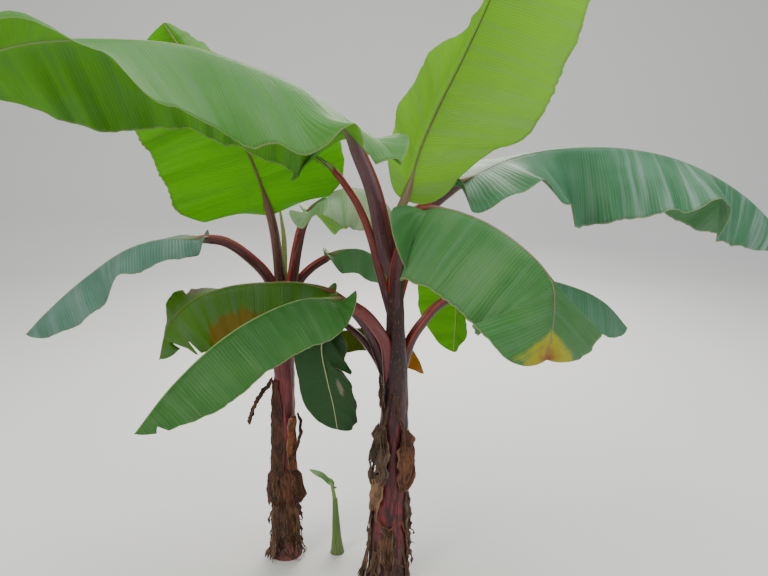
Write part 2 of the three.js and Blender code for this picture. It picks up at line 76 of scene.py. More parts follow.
def linear(colour: str) -> tuple[float, ...]:
    """Turns an sRGB hex colour such as #3F8038 to linear red, green, blue and an alpha of 1."""
    values = [int(colour[i : i + 2], 16) / 255 for i in (1, 3, 5)]
    return (*(v / 12.92 if v <= 0.04045 else ((v + 0.055) / 1.055) ** 2.4 for v in values), 1.0)


def smooth(x: np.ndarray, low: float, high: float) -> np.ndarray:
    """A smooth step from 0 at low to 1 at high."""
    t = np.clip((x - low) / (high - low), 0, 1)
    return t * t * (3 - 2 * t)


def along(table: Table, x: np.ndarray, column: int = 1) -> np.ndarray:
    """A column of a table, read between its places in straight lines."""
    rows = np.array(table, float)
    return np.interp(x, rows[:, 0], rows[:, column])


def easing(table: Table, x: np.ndarray, column: int = 1) -> np.ndarray:
    """A column of a table, with a smooth change from each of its places to the next.

    Args:
        table: The table.
        x: Where to read it.
        column: Which of its columns.

    Returns:
        The column's value at each x.
    """
    rows = np.array(table, float)
    i = np.clip(np.searchsorted(rows[:, 0], x) - 1, 0, len(rows) - 2)
    return rows[i, column] + (rows[i + 1, column] - rows[i, column]) * smooth(x, rows[i, 0], rows[i + 1, 0])


def wobble(x: np.ndarray, pitch: float, seed: int) -> np.ndarray:
    """A smooth seeded unevenness along a line, between about -1 and 1.

    Args:
        x: Places along the line.
        pitch: The length of one swell, in the same unit as x.
        seed: Which unevenness.

    Returns:
        Its height at each place.
    """
    draw = np.random.default_rng(seed)
    total = np.zeros_like(np.asarray(x, float))
    for _ in range(5):
        length = pitch * draw.uniform(0.6, 1.7)
        total += np.sin(x * 2 * math.pi / length + draw.uniform(0, 2 * math.pi))
    return total / 2.6


def curve_points(stations: np.ndarray, count: int) -> np.ndarray:
    """Points on the smooth curve through some stations, evenly spread by station number.

    Args:
        stations: The stations, one a row.
        count: How many points.

    Returns:
        The points, one a row.
    """
    ends = np.vstack([2 * stations[0] - stations[1], stations, 2 * stations[-1] - stations[-2]])
    t = np.linspace(0, len(stations) - 1, count)
    i = np.minimum(t.astype(int), len(stations) - 2)
    f = (t - i)[:, None]
    before, here, there, after = (ends[i + k] for k in range(4))
    leave, arrive = 0.5 * (there - before), 0.5 * (after - here)
    cubic = 2 * here - 2 * there + leave + arrive
    square = 3 * there - 3 * here - 2 * leave - arrive
    return cubic * f**3 + square * f**2 + leave * f + here


def unit(vectors: np.ndarray) -> np.ndarray:
    """The vectors of each row at length 1."""
    return vectors / np.maximum(np.linalg.norm(vectors, axis=-1, keepdims=True), 1e-9)


def pairs(first: np.ndarray, second: np.ndarray) -> np.ndarray:
    """Two coordinates for each place of a grid."""
    return np.stack(np.broadcast_arrays(first, second), -1)


def bearing(angle: np.ndarray) -> np.ndarray:
    """Level vectors that point the way of some angles."""
    return np.stack([np.cos(angle), np.sin(angle), np.zeros_like(angle)], -1)


class Slot(Enum):
    """The record's material slots."""

    STEM = "stem"
    LEAF = "leaf"
    YOUNG = "young_leaf"
    AGEING = "ageing_leaf"
    PUP = "pup"
    DRY = "dry_sheath"


@dataclass
class Skin:
    """A mesh in the making: points joined by quads, with a map in metres and one of shares."""

    points: list[np.ndarray] = field(default_factory=list)
    run_map: list[np.ndarray] = field(default_factory=list)
    share_map: list[np.ndarray] = field(default_factory=list)
    quads: list[np.ndarray] = field(default_factory=list)
    faces_material: list[np.ndarray] = field(default_factory=list)

    def add_points(self, points: np.ndarray, run: np.ndarray, share: np.ndarray) -> int:
        """Adds points with their places on both maps.

        Args:
            points: The points.
            run: Their places on the map in metres.
            share: Their places on the map of shares.

        Returns:
            The number of the first of them.
        """
        first = sum(map(len, self.points))
        self.points.append(points.reshape(-1, 3))
        self.run_map.append(run.reshape(-1, 2))
        self.share_map.append(share.reshape(-1, 2))
        return first

    def add_quads(self, corners: Sequence[np.ndarray], material: int) -> None:
        """Adds faces, given by the numbers of their four corners, that show that material."""
        self.quads.append(np.stack(np.broadcast_arrays(*corners), -1).reshape(-1, 4))
        self.faces_material.append(np.full(len(self.quads[-1]), material, np.int32))

    def rings(self, points: np.ndarray, run: np.ndarray, share: np.ndarray, turn: bool) -> None:
        """Joins rings of points to an open tube.

        Args:
            points: The points, by ring and place round it.
            run: Their places on the map in metres.
            share: Their places on the map of shares.
            turn: Whether its faces look the other way.
        """
        rows, columns = points.shape[:2]
        c = np.arange(columns)[None, :]
        here = self.add_points(points, run, share) + np.arange(rows - 1)[:, None] * columns
        a, b = here + c, here + (c + 1) % columns
        d, e = a + columns, b + columns
        self.add_quads([a, d, e, b] if turn else [a, b, e, d], 0)

    def tube(self, points: np.ndarray, run: np.ndarray, share: np.ndarray, ends: Sequence[float]) -> None:
        """Joins rings of points to a tube that is closed at both ends.

        Args:
            points: The points, by ring and place round it.
            run: Their places on the map in metres.
            share: Their places on the map of shares.
            ends: How wide each of the rings is that draw an end in to its middle.
        """
        self.rings(points, run, share, False)
        for row, turn in ((0, True), (-1, False)):
            middle = points[row].mean(0)
            shrunk = np.stack([middle + (points[row] - middle) * width for width in ends])
            maps = (np.repeat(places[row][None], len(ends), 0) for places in (run, share))
            self.rings(shrunk, *maps, turn)

    def sheet(self, first: int, back: int, keep: np.ndarray, back_material: int) -> None:
        """Joins two grids of points to a closed sheet, with walls round its rim and its holes.

        Args:
            first: The number of the front grid's first point.
            back: The number of the back grid's first point.
            keep: Which cells of the grid are there.
            back_material: The material's number on the back and on the walls.
        """
        columns = keep.shape[1] + 1
        r, c = np.nonzero(keep)
        here, under = r * columns + c, (r + 1) * columns + c
        beside, across = here + 1, under + 1
        self.add_quads([here + first, under + first, across + first, beside + first], 0)
        self.add_quads([here + back, beside + back, across + back, under + back], back_material)
        padded = np.pad(keep, 1)
        sides = (
            (padded[r + 1, c], under, here),
            (padded[r + 2, c + 1], across, under),
            (padded[r + 1, c + 2], beside, across),
            (padded[r, c + 1], here, beside),
        )
        for neighbour, start, end in sides:
            start, end = start[~neighbour], end[~neighbour]
            self.add_quads([start + first, end + first, end + back, start + back], back_material)

    def make(self, name: str, materials: Iterable[bpy.types.Material]) -> bpy.types.Object:
        """Makes the Blender object and links it to the scene.

        Args:
            name: Its name.
            materials: Its materials, in the order of their numbers.

        Returns:
            The object.
        """
        quads = np.vstack(self.quads)
        mesh = bpy.data.meshes.new(name)
        mesh.vertices.add(sum(map(len, self.points)))
        mesh.vertices.foreach_set("co", (np.vstack(self.points) * MM).ravel())
        mesh.loops.add(quads.size)
        mesh.loops.foreach_set("vertex_index", quads.ravel().astype(np.int32))
        mesh.polygons.add(len(quads))
        mesh.polygons.foreach_set("loop_start", np.arange(0, quads.size, 4, dtype=np.int32))
        mesh.polygons.foreach_set("material_index", np.concatenate(self.faces_material))
        mesh.polygons.foreach_set("use_smooth", np.ones(len(quads), bool))
        for title, rows in (("Run", self.run_map), ("Share", self.share_map)):
            layer = mesh.uv_layers.new(name=title)
            layer.data.foreach_set("uv", np.vstack(rows)[quads.ravel()].ravel())
        mesh.update(calc_edges=True)
        mesh.validate()
        for material in materials:
            mesh.materials.append(material)
        return place(name, mesh)


def place(name: str, data: bpy.types.ID) -> bpy.types.Object:
    """Puts a mesh, lamp or camera into the scene.

    Args:
        name: The object's name.
        data: The mesh, lamp or camera.

    Returns:
        The object.
    """
    piece = bpy.data.objects.new(name, data)
    bpy.context.scene.collection.objects.link(piece)
    return piece


NODE_TASKS = {"Math": "operation", "MapRange": "interpolation_type", "Mix": "data_type", "UVMap": "uv_map"}
"""What tells each kind of node its task."""


class Shader:
    """A material's node tree in the making."""

    def __init__(self, name: str) -> None:
        """Starts an empty material.

        Args:
            name: Its name.
        """
        self.material = bpy.data.materials.new(name)
        self.material.use_nodes = True
        self.tree = self.material.node_tree
        self.tree.nodes.clear()

    def add(self, kind: str, *values: object, **named: object) -> bpy.types.Node:
        """Adds a node with its task and what goes into it.

        Args:
            kind: The node's type, with a dot and its task for the kinds in NODE_TASKS.
            values: A number, hex colour, node or output for each of its inputs in turn.
            named: The same by the input's name, with underscores for spaces.

        Returns:
            The node.
        """
        kind, _, task = kind.partition(".")
        node = self.tree.nodes.new("ShaderNode" + kind)
        if task:
            setattr(node, NODE_TASKS[kind], task)
        inputs = list(zip([socket for socket in node.inputs if socket.enabled], values))
        inputs += [(node.inputs[key.replace("_", " ")], value) for key, value in named.items()]
        for socket, value in inputs:
            if isinstance(value, bpy.types.Node):
                value = next(output for output in value.outputs if output.enabled)
            if isinstance(value, bpy.types.NodeSocket):
                self.tree.links.new(value, socket)
            else:
                socket.default_value = linear(value) if isinstance(value, str) else value
        return node

    def map(self, title: str) -> tuple[bpy.types.NodeSocket, bpy.types.NodeSocket]:
        """The two coordinates of a texture map."""
        split = self.add("SeparateXYZ", self.add("UVMap." + title))
        return split.outputs[0], split.outputs[1]

    def swells(
        self, x: object, wide: float, y: object, long: float, seed: float, detail: float
    ) -> bpy.types.Node:
        """An uneven pattern of soft swells, from 0 to 1.

        Args:
            x: The first coordinate, in metres.
            wide: A swell's size along it, in millimetres.
            y: The second coordinate.
            long: A swell's size along that.
            seed: Which pattern.
            detail: How much finer unevenness is on it.

        Returns:
            The node that gives the pattern.
        """
        across, ahead = (self.add("Math.DIVIDE", at, size * MM) for at, size in ((x, wide), (y, long)))
        where = self.add("CombineXYZ", across, ahead, seed)
        return self.add("TexNoise", Vector=where, Scale=1.0, Detail=detail, Roughness=0.55)

    def where(self, value: object, low: float, high: float, share: float = 1.0) -> bpy.types.Node:
        """How much of something shows: none where a value is low, its full share where it is high."""
        return self.add("Math.MULTIPLY", self.add("MapRange.SMOOTHSTEP", value, low, high), share)

    def unless(self, value: object, low: float, high: float) -> bpy.types.Node:
        """The opposite: 1 where a value is low, and 0 where it is high."""
        return self.add("Math.SUBTRACT", 1.0, self.where(value, low, high))

    def stain(
        self, colour: object, tint: object, value: object, low: float, high: float, share: float
    ) -> bpy.types.Node:
        """A colour with a tint over it where a value is high.

        Args:
            colour: The colour below.
            tint: The tint.
            value: What places the tint.
            low: The value where the tint starts.
            high: The value where it is full.
            share: How much the full tint hides.

        Returns:
            The node that gives the stained colour.
        """
        return self.add("Mix.RGBA", self.where(value, low, high, share), colour, tint)

    def surface(
        self, colour: object, rough: object, height: object = None, strength: float = 0.0, depth: float = 0.0,
        ior: float = 1.45, specular: float = 0.5, glow: object = None, glow_share: float = 0.0,
    ) -> bpy.types.Material:
        """Makes the surface and joins it to the material's output.

        Args:
            colour: Its colour.
            rough: Its roughness.
            height: The pattern that stands up on it, from 0 to 1.
            strength: How much of that the light shows.
            depth: How high the pattern stands, in millimetres.
            ior: Its index of refraction.
            specular: How strongly it mirrors.
            glow: The colour of light that comes through from behind.
            glow_share: How much of its light comes through.

        Returns:
            The material.
        """
        normal = {}
        if height is not None:
            normal["Normal"] = self.add("Bump", Strength=strength, Distance=depth * MM, Height=height)
        look = {"Base_Color": colour, "Roughness": rough, "IOR": ior, "Specular_IOR_Level": specular}
        body = self.add("BsdfPrincipled", **look, **normal)
        if glow is not None:
            through = self.add("BsdfTranslucent", Color=glow, **normal)
            body = self.add("MixShader", glow_share, body, through)
        self.add("OutputMaterial", Surface=body)
        return self.material


@dataclass(frozen=True)
class LeafFinish:
    """A living banana leaf. A waxy green film with a side vein every 9 mm, which lets light
    through from behind: it gives the eye fine ridges, dull and shiny bands, and a glow. The pale
    streaks on the bands are partly a real wax bloom and partly a painted sheen, and the furrows
    between the veins carry a painted shade.

    aged and died are spots that have turned yellow and brown, as (place along, place across,
    reach along, reach across) in shares of the blade; the left half is the positive one.
    """

    upper: str = "#3F8038"
    streak: str = "#6FA35A"
    # bloom_and_sheen is a pale streak colour: partly a real wax bloom, partly a painted sheen.
    bloom_and_sheen: str = "#A6C6A6"
    under: str = "#6E9C4E"
    glow: str = "#B4E23A"
    glow_share: float = 0.42
    bloom_and_sheen_share: float = 0.3
    bloom_and_sheen_from: float = 0.0
    margin: str = "#B9BE8A"
    age: str = "#C9A21E"
    dead: str = "#7A4A28"
    scorched: str = "#B0641A"
    # painted_furrow_shade is a dark green painted into the furrows between side veins as shade.
    painted_furrow_shade: str = "#16301A"
    ageing: float = 0.0
    ageing_from: float = 0.6
    aged: tuple[float, float, float, float] | None = None
    died: tuple[float, float, float, float] | None = None
    softness: float = 0.5
    scorch: float = 0.0
    roughness: float = 0.4
    vein_pitch: float = 9.0

    def spot(
        self, s: Shader, where: Sequence[float], rough: bpy.types.Node, wider: float = 1.0
    ) -> bpy.types.Node:
        """How far a place lies in a spot of the blade.

        Args:
            s: The material in the making.
            where: The spot's place along and across the blade, and its reach each way.
            rough: What makes its rim uneven, from 0 to 1.
            wider: How many times as far it reaches.

        Returns:
            1 inside the spot and 0 outside.
        """
        parts = []
        for at, middle, reach in zip(s.map("Share"), where[:2], where[2:]):
            part = s.add("Math.DIVIDE", s.add("Math.SUBTRACT", at, middle), reach * wider)
            parts.append(s.add("Math.MULTIPLY", part, part))
        away = s.add("Math.SQRT", s.add("Math.ADD", *parts))
        away = s.add("Math.ADD", away, s.add("Math.MULTIPLY_ADD", rough, 0.9, -0.45))
        return s.unless(away, 1.0 - self.softness, 1.05)

    def face(self, name: str, upper: bool, seed: float) -> bpy.types.Material:
        """One face of the leaf.

        Args:
            name: The leaf's name.
            upper: Whether it is the face that looks to the sky.
            seed: Which leaf's pattern it has.

        Returns:
            The material.
        """
        s = Shader(f"living_leaf_{'waxy_upper' if upper else 'matt_under'}_{name}")
        add = s.add
        run, across = s.map("Run")
        share, side = s.map("Share")
        # Side veins run out from the rib: ridges that waver a little, with finer ones between
        # them, and dull or waxy bands among them, whose pale streaks are partly wax bloom and partly
        # painted sheen. Clouds and blotches are larger.
        bent = add("Math.MULTIPLY_ADD", s.swells(run, 83.33, across, 71.43, seed + 2.0, 1.0), 6 * MM, run)
        wave = add("Math.SINE", add("Math.MULTIPLY", bent, 2 * math.pi / (self.vein_pitch * MM)))
        ridge = add("Math.MULTIPLY_ADD", wave, 0.5, 0.5)
        vein = add("Math.POWER", ridge, 3.0)
        # Painted shade mask: deepest in the furrows between the side veins.
        painted_furrow_shade = add("Math.POWER", add("Math.SUBTRACT", 1.0, ridge), 3.0)
        fine = s.swells(bent, 3.03, across, 142.9, seed, 1.0)
        band = s.swells(bent, 26.315, across, 500.0, seed + 5.0, 1.5)
        cloud = s.swells(run, 200.0, across, 142.9, seed + 9.0, 3.0)
        blotch = s.swells(run, 29.41, across, 45.45, seed + 15.0, 3.0)
        ground = self.upper if upper else self.under
        colour = s.stain(ground, self.streak, fine, 0.3, 0.8, 0.2)
        colour = s.stain(colour, self.streak, cloud, 0.42, 0.72, 0.45)
        # Pale streaks along the vein bands: partly a real wax bloom, partly a painted sheen.
        bloom_and_sheen_mask = s.where(band, 0.42, 0.78, self.bloom_and_sheen_share if upper else 0.12)
        if self.bloom_and_sheen_from > 0:
            begun = s.where(share, self.bloom_and_sheen_from - 0.15, self.bloom_and_sheen_from + 0.15)
            bloom_and_sheen_mask = add("Math.MULTIPLY", bloom_and_sheen_mask, begun)
        colour = add("Mix.RGBA", bloom_and_sheen_mask, colour, self.bloom_and_sheen)
        colour = add("Mix.RGBA", add("Math.MULTIPLY", vein, 0.22), colour, self.streak)
        # Painted shade: dark green tinted into the furrows between the side veins.
        colour = add("Mix.RGBA", add("Math.MULTIPLY", painted_furrow_shade, 0.12), colour, self.painted_furrow_shade)
        glow = add("Mix.RGBA", add("Math.MULTIPLY", vein, 0.4), self.glow, self.streak)
        glow = s.stain(glow, ground, band, 0.4, 0.8, 0.45)
        glow = s.stain(glow, ground, cloud, 0.45, 0.75, 0.35)
        yellow, brown, halo = self.damage(s, share, side, band, cloud, blotch)
        colour = add("Mix.RGBA", add("Math.MULTIPLY", yellow, 0.85), colour, self.age)
        colour = add("Mix.RGBA", halo, colour, self.scorched)
        colour = add("Mix.RGBA", brown, colour, self.dead)
        glow = add("Mix.RGBA", brown, add("Mix.RGBA", yellow, glow, self.age), self.dead)
        colour = s.stain(colour, self.margin, add("Math.ABSOLUTE", side), 0.976, 0.994, 0.6)
        height = add("Math.MULTIPLY_ADD", vein, 0.7, add("Math.MULTIPLY", fine, 0.6))
        height = add("Math.MULTIPLY_ADD", blotch, 0.5, height)
        rough = add("Math.MULTIPLY_ADD", band, 0.22, self.roughness + (-0.08 if upper else 0.12))
        return s.surface(
            colour, rough, height, strength=0.55, depth=1.2, ior=1.42, specular=0.4, glow=glow,
            glow_share=self.glow_share,
        )

    def damage(
        self, s: Shader, share: object, side: object, band: object, cloud: object, blotch: object
    ) -> tuple[object, object, object]:
        """Where the leaf has yellowed and died.

        Args:
            s: The material in the making.
            share: The place along the blade.
            side: The place across it.
            band: Bands along the side veins.
            cloud: Large soft patches.
            blotch: Smaller ones.

        Returns:
            How yellow, how brown and how scorched each place is.
        """
        add = s.add
        old = add("Math.MULTIPLY_ADD", cloud, 0.9, -0.45)
        if self.ageing > 0:
            rim = add("Math.MULTIPLY", add("Math.POWER", add("Math.ABSOLUTE", side), 3.0), 0.35)
            drawn = add("Math.ADD", s.where(share, self.ageing_from, 1.0, 0.5), rim)
            old = add("Math.MULTIPLY_ADD", drawn, self.ageing, old)
        if self.aged is not None:
            rough = add("Math.MULTIPLY", add("Math.ADD", band, cloud), 0.5)
            uneven = add("Math.MULTIPLY_ADD", blotch, 0.3, 0.65)
            spot = add("Math.MULTIPLY", self.spot(s, self.aged, rough), uneven)
            old = add("Math.MAXIMUM", old, spot)
        yellow, brown, halo = s.where(old, 0.42, 0.72), s.where(old, 1.0, 1.12), 0.0
        if self.died is not None:
            brown = add("Math.MAXIMUM", brown, self.spot(s, self.died, blotch))
            halo = add("Math.MULTIPLY", self.spot(s, self.died, blotch, 1.35), self.scorch)
        fleck = add("Math.MULTIPLY", s.where(blotch, 0.66, 0.72, 0.6), yellow)
        return yellow, add("Math.MAXIMUM", brown, fleck), halo


@dataclass(frozen=True)
class RibFinish:
    """A fleshy petiole and midrib. Smooth wet-looking skin, maroon at the stem and green or
    cream along the blade, with a red rim on each wing of the channel."""

    foot: str = "#3E1A20"
    middle: str = "#54282A"
    blade: str = "#8FA468"
    channel: str = "#8E4434"
    rim: str = "#B8463A"
    keel: str = "#B9C08A"
    # bloom_and_sheen here is partly a real wax bloom and partly a painted sheen along the fibres.
    bloom_and_sheen: str = "#A89AA0"
    fade_from: float = 0.98
    roughness: float = 0.26

    def material(self, name: str, seed: float) -> bpy.types.Material:
        """The material of the petiole and rib of that leaf.

        Args:
            name: The leaf's name.
            seed: Which pattern it has.

        Returns:
            The material.
        """
        s = Shader(f"fleshy_petiole_smooth_skinned_{name}")
        add = s.add
        run, around = s.map("Run")
        # share goes from 0 to 1 up the petiole and on to 2 along the blade, and turn from 0 to 1
        # over the channel and on to 2 round the outside.
        share, turn = s.map("Share")
        fibre = s.swells(run, 71.43, around, 2.381, seed, 3.0)
        patch = s.swells(run, 41.67, around, 16.67, seed + 3.0, 3.0)
        foot = add("Mix.RGBA", s.where(share, 0.0, 0.8), self.foot, self.middle)
        foot = s.stain(foot, self.foot, patch, 0.5, 0.75, 0.5)
        inner = s.stain(self.channel, self.middle, patch, 0.35, 0.7, 0.5)
        petiole = s.stain(inner, foot, turn, 0.98, 1.02, 1.0)
        below = add("Math.MULTIPLY", s.where(turn, 1.2, 1.34), s.unless(turn, 1.66, 1.8))
        rib = add("Mix.RGBA", below, self.blade, self.keel)
        colour = s.stain(petiole, rib, share, self.fade_from, self.fade_from + 0.16, 1.0)
        rim = add("Math.MULTIPLY", s.where(turn, 0.9, 0.97), s.unless(turn, 1.04, 1.1))
        for other in (s.where(turn, 1.9, 1.97), s.unless(turn, 0.03, 0.1)):
            rim = add("Math.MAXIMUM", rim, other)
        faded = add("Math.SUBTRACT", 0.8, s.where(share, 0.98, 1.12, 0.72))
        colour = add("Mix.RGBA", add("Math.MULTIPLY", rim, faded), colour, self.rim)
        # Painted sheen: pale streaks along the fibres, partly a real wax bloom.
        colour = s.stain(colour, self.bloom_and_sheen, fibre, 0.5, 0.8, 0.2)
        rough = add("Math.MULTIPLY_ADD", patch, 0.2, self.roughness - 0.06)
        rough = add("Math.ADD", rough, s.where(share, 0.98, 1.12, 0.24))
        return s.surface(colour, rough, fibre, strength=0.35, depth=0.8)


@dataclass(frozen=True)
class StemFinish:
    """A pseudostem of leaf sheaths rolled round each other. Smooth waxy maroon skin with
    lengthways fibres, blotched nearly black, and dull brown where old sheaths have rotted."""

    skin: str = "#561A20"
    bright: str = "#862A32"
    blotch: str = "#1E1412"
    pale: str = "#9A7868"
    old: str = "#4A3026"
    dark_above: str = "#2E2420"
    blotches: float = 0.7
    dark_from: float = 0.56
    old_below: float = 0.17
    roughness: float = 0.36

    def material(self, name: str, seed: float) -> bpy.types.Material:
        """The material of that stem.

        Args:
            name: The stem's name.
            seed: Which pattern it has.

        Returns:
            The material.
        """
        s = Shader(f"pseudostem_waxy_sheath_{name}")
        add = s.add
        around, height = s.map("Run")
        layer, rim = s.map("Share")
        fibre = s.swells(around, 2.381, height, 111.1, seed, 4.0)
        patch = s.swells(around, 33.33, height, 71.43, seed + 2.0, 4.0)
        speck = s.swells(around, 8.333, height, 16.67, seed + 4.0, 3.0)
        colour = add("Mix.RGBA", s.where(layer, 0.1, 0.9), self.skin, self.bright)
        colour = s.stain(colour, self.blotch, patch, 0.42, 0.62, self.blotches)
        colour = s.stain(colour, self.blotch, speck, 0.55, 0.72, 0.5 * self.blotches)
        colour = s.stain(colour, self.pale, fibre, 0.5, 0.85, 0.3)
        # Height with some unevenness: above dark_from the colour turns darker towards the top, and low down old
        # sheaths have rotted.
        uneven_height = add("Math.ADD", add("Math.MULTIPLY_ADD", patch, 0.24, -0.12), height)
        dark_top_colour = s.stain(self.dark_above, self.skin, fibre, 0.4, 0.75, 0.5)
        dark_top_colour = s.stain(dark_top_colour, self.pale, speck, 0.58, 0.7, 0.5)
        colour = s.stain(colour, dark_top_colour, uneven_height, self.dark_from - 0.08, self.dark_from + 0.1, 0.75)
        old = s.unless(uneven_height, self.old_below - 0.12, self.old_below + 0.06)
        dry = s.stain(self.old, self.pale, fibre, 0.42, 0.72, 0.45)
        dry = s.stain(dry, self.blotch, patch, 0.4, 0.6, 0.6)
        colour = add("Mix.RGBA", add("Math.MULTIPLY", old, 0.8), colour, dry)
        colour = s.stain(colour, self.blotch, rim, 0.25, 0.85, 0.7)
        height_above = add("Math.MULTIPLY_ADD", speck, 0.4, fibre)
        rough = add("Math.MULTIPLY_ADD", speck, 0.25, self.roughness - 0.1)
        rough = add("Math.MULTIPLY_ADD", old, 0.3, rough)
        return s.surface(colour, rough, height_above, strength=0.45, depth=1.0)


@dataclass(frozen=True)
class DryFinish:
    """A dead leaf sheath, dried on the plant. Matt papery brown with straw-coloured fibres."""

    paper: str = "#7E6350"
    dark: str = "#423128"
    straw: str = "#B8A085"
    warm: str = "#8E5632"
    warmth: float = 0.25

    def material(self, name: str, seed: float) -> bpy.types.Material:
        """The material of that dry piece.

        Args:
            name: The piece's name.
            seed: Which pattern it has.

        Returns:
            The material.
        """
        s = Shader(f"dead_sheath_papery_{name}")
        add = s.add
        across, run = s.map("Run")
        fibre = s.swells(across, 1 / 0.7, run, 62.5, seed, 3.0)
        patch = s.swells(across, 100 / 3, run, 62.5, seed + 2.0, 3.0)
        blot = s.swells(across, 100 / 9, run, 25.0, seed + 4.0, 3.0)
        colour = add("Mix.RGBA", s.where(patch, 0.38, 0.62), self.dark, self.paper)
        colour = s.stain(colour, self.warm, blot, 0.45, 0.65, self.warmth)
        colour = s.stain(colour, self.straw, fibre, 0.48, 0.7, 0.55)
        gap = add("Math.MULTIPLY", s.unless(fibre, 0.28, 0.42), 0.6)
        colour = add("Mix.RGBA", gap, colour, self.dark)
        colour = s.stain(colour, self.straw, add("Math.ABSOLUTE", s.map("Share")[1]), 0.86, 0.98, 0.55)
        height = add("Math.MULTIPLY_ADD", blot, 0.8, fibre)
        rough = add("Math.MULTIPLY_ADD", blot, 0.2, 0.66)
        return s.surface(
            colour, rough, height, strength=0.5, depth=0.9, ior=1.4, glow=colour, glow_share=0.3
        )


@dataclass
class Pseudostem:
    """A trunk of leaf sheaths rolled round each other, from its flat foot to where the last
    petioles leave it.

    Each sheath is its heading in degrees, the height where its petiole leaves, and half the
    arc that it wraps there; it wraps further round the lower down it is looked at.
    """

    node: str
    foot: tuple[float, float]
    top: float
    radius: Table
    lean: Table
    sheaths: Table
    finish: StemFinish = StemFinish()
    slot: Slot = Slot.STEM
    seed: int = 0
    sides: int = 96
    pitch: float = 5.0
    step: float = 1.5
    groove: float = 1.3
    widening: float = 0.2
    widest: float = 168.0
    rim_width: float = 3.2
    relief: float = 4.0
    spiral: float = 0.012

    def middle(self, height: np.ndarray) -> np.ndarray:
        """The stem's middle line at some heights."""
        return np.stack([self.foot[k] + along(self.lean, height, k + 1) for k in (0, 1)] + [height], -1)

    def layers(self, turn: np.ndarray, height: np.ndarray) -> tuple[np.ndarray, np.ndarray]:
        """How many sheaths lie over each place, and how close the nearest rim is.

        Args:
            turn: Headings in degrees.
            height: Heights.

        Returns:
            The count of sheaths as a smooth number, and 1 on a rim falling to 0 beside it.
        """
        count, rim = np.zeros((2, *np.broadcast(turn, height).shape))
        for number, (heading, top, spread) in enumerate(self.sheaths):
            below = np.maximum(top - height, 0)
            wrap = np.minimum(spread + self.widening * below, self.widest)
            away = np.abs((turn - heading - self.spiral * below + 180) % 360 - 180)
            away = away + 1.2 * wobble(height, 90.0, self.seed + number)
            there = smooth(below, 0, 60)
            count += (1 - smooth(away, wrap - 2.5, wrap + 2.5)) * there
            rim = np.maximum(rim, np.exp(-(((away - wrap) / self.rim_width) ** 2)) * there)
        return count, rim

    def build(self) -> list[bpy.types.Object]:
        """Makes the stem's mesh, with a step at each sheath's rim.

        Returns:
            The one piece.
        """
        rows = int(self.top / self.pitch) + 1
        height = np.linspace(0, self.top, rows)[:, None]
        turn = np.arange(self.sides)[None, :] * 360 / self.sides
        count, rim = self.layers(turn, height)
        fade = smooth(height, 0, 12)
        lift = (self.step * (count - len(self.sheaths) * 0.45) - self.groove * rim) * fade * 0.55
        lift += fade * 1.2 * wobble(turn + 0.03 * height, 60.0, self.seed + 40)
        lift += fade * 0.9 * wobble(height + 0.4 * turn, 70.0, self.seed + 41)
        lift = np.clip(lift, -self.relief, self.relief) * np.minimum(1, along(self.radius, height) / 40)
        reach = along(self.radius, height) - 1.5 * fade + lift
        angle = np.radians(turn)
        points = self.middle(height[:, 0])[:, None, :] + bearing(angle) * reach[:, :, None]
        skin = Skin()
        run = pairs(np.broadcast_to(angle * 45 * MM, reach.shape), height * MM)
        share = pairs(np.clip(count / len(self.sheaths), 0, 1), rim)
        skin.tube(points, run, share, (1.0, 0.7, 0.4, 0.02))
        piece = skin.make(self.node + "_dressed", [self.finish.material(self.node, self.seed)])
        piece.data.set_sharp_from_angle(angle=math.radians(60))
        return [piece]


@dataclass(frozen=True)
class Spine:
    """The rings of a leaf from inside its stem to its tip, one row of each array for each ring.

    side is the way that the left half goes and up the way that the upper face looks. at is the
    length from the foot; petiole goes from 0 to 1 up the petiole and blade from 0 to 1 along
    the blade, which starts at the ring of number first and is length long.
    """

    point: np.ndarray
    run: np.ndarray
    side: np.ndarray
    up: np.ndarray
    at: np.ndarray
    petiole: np.ndarray
    blade: np.ndarray
    first: int
    length: float


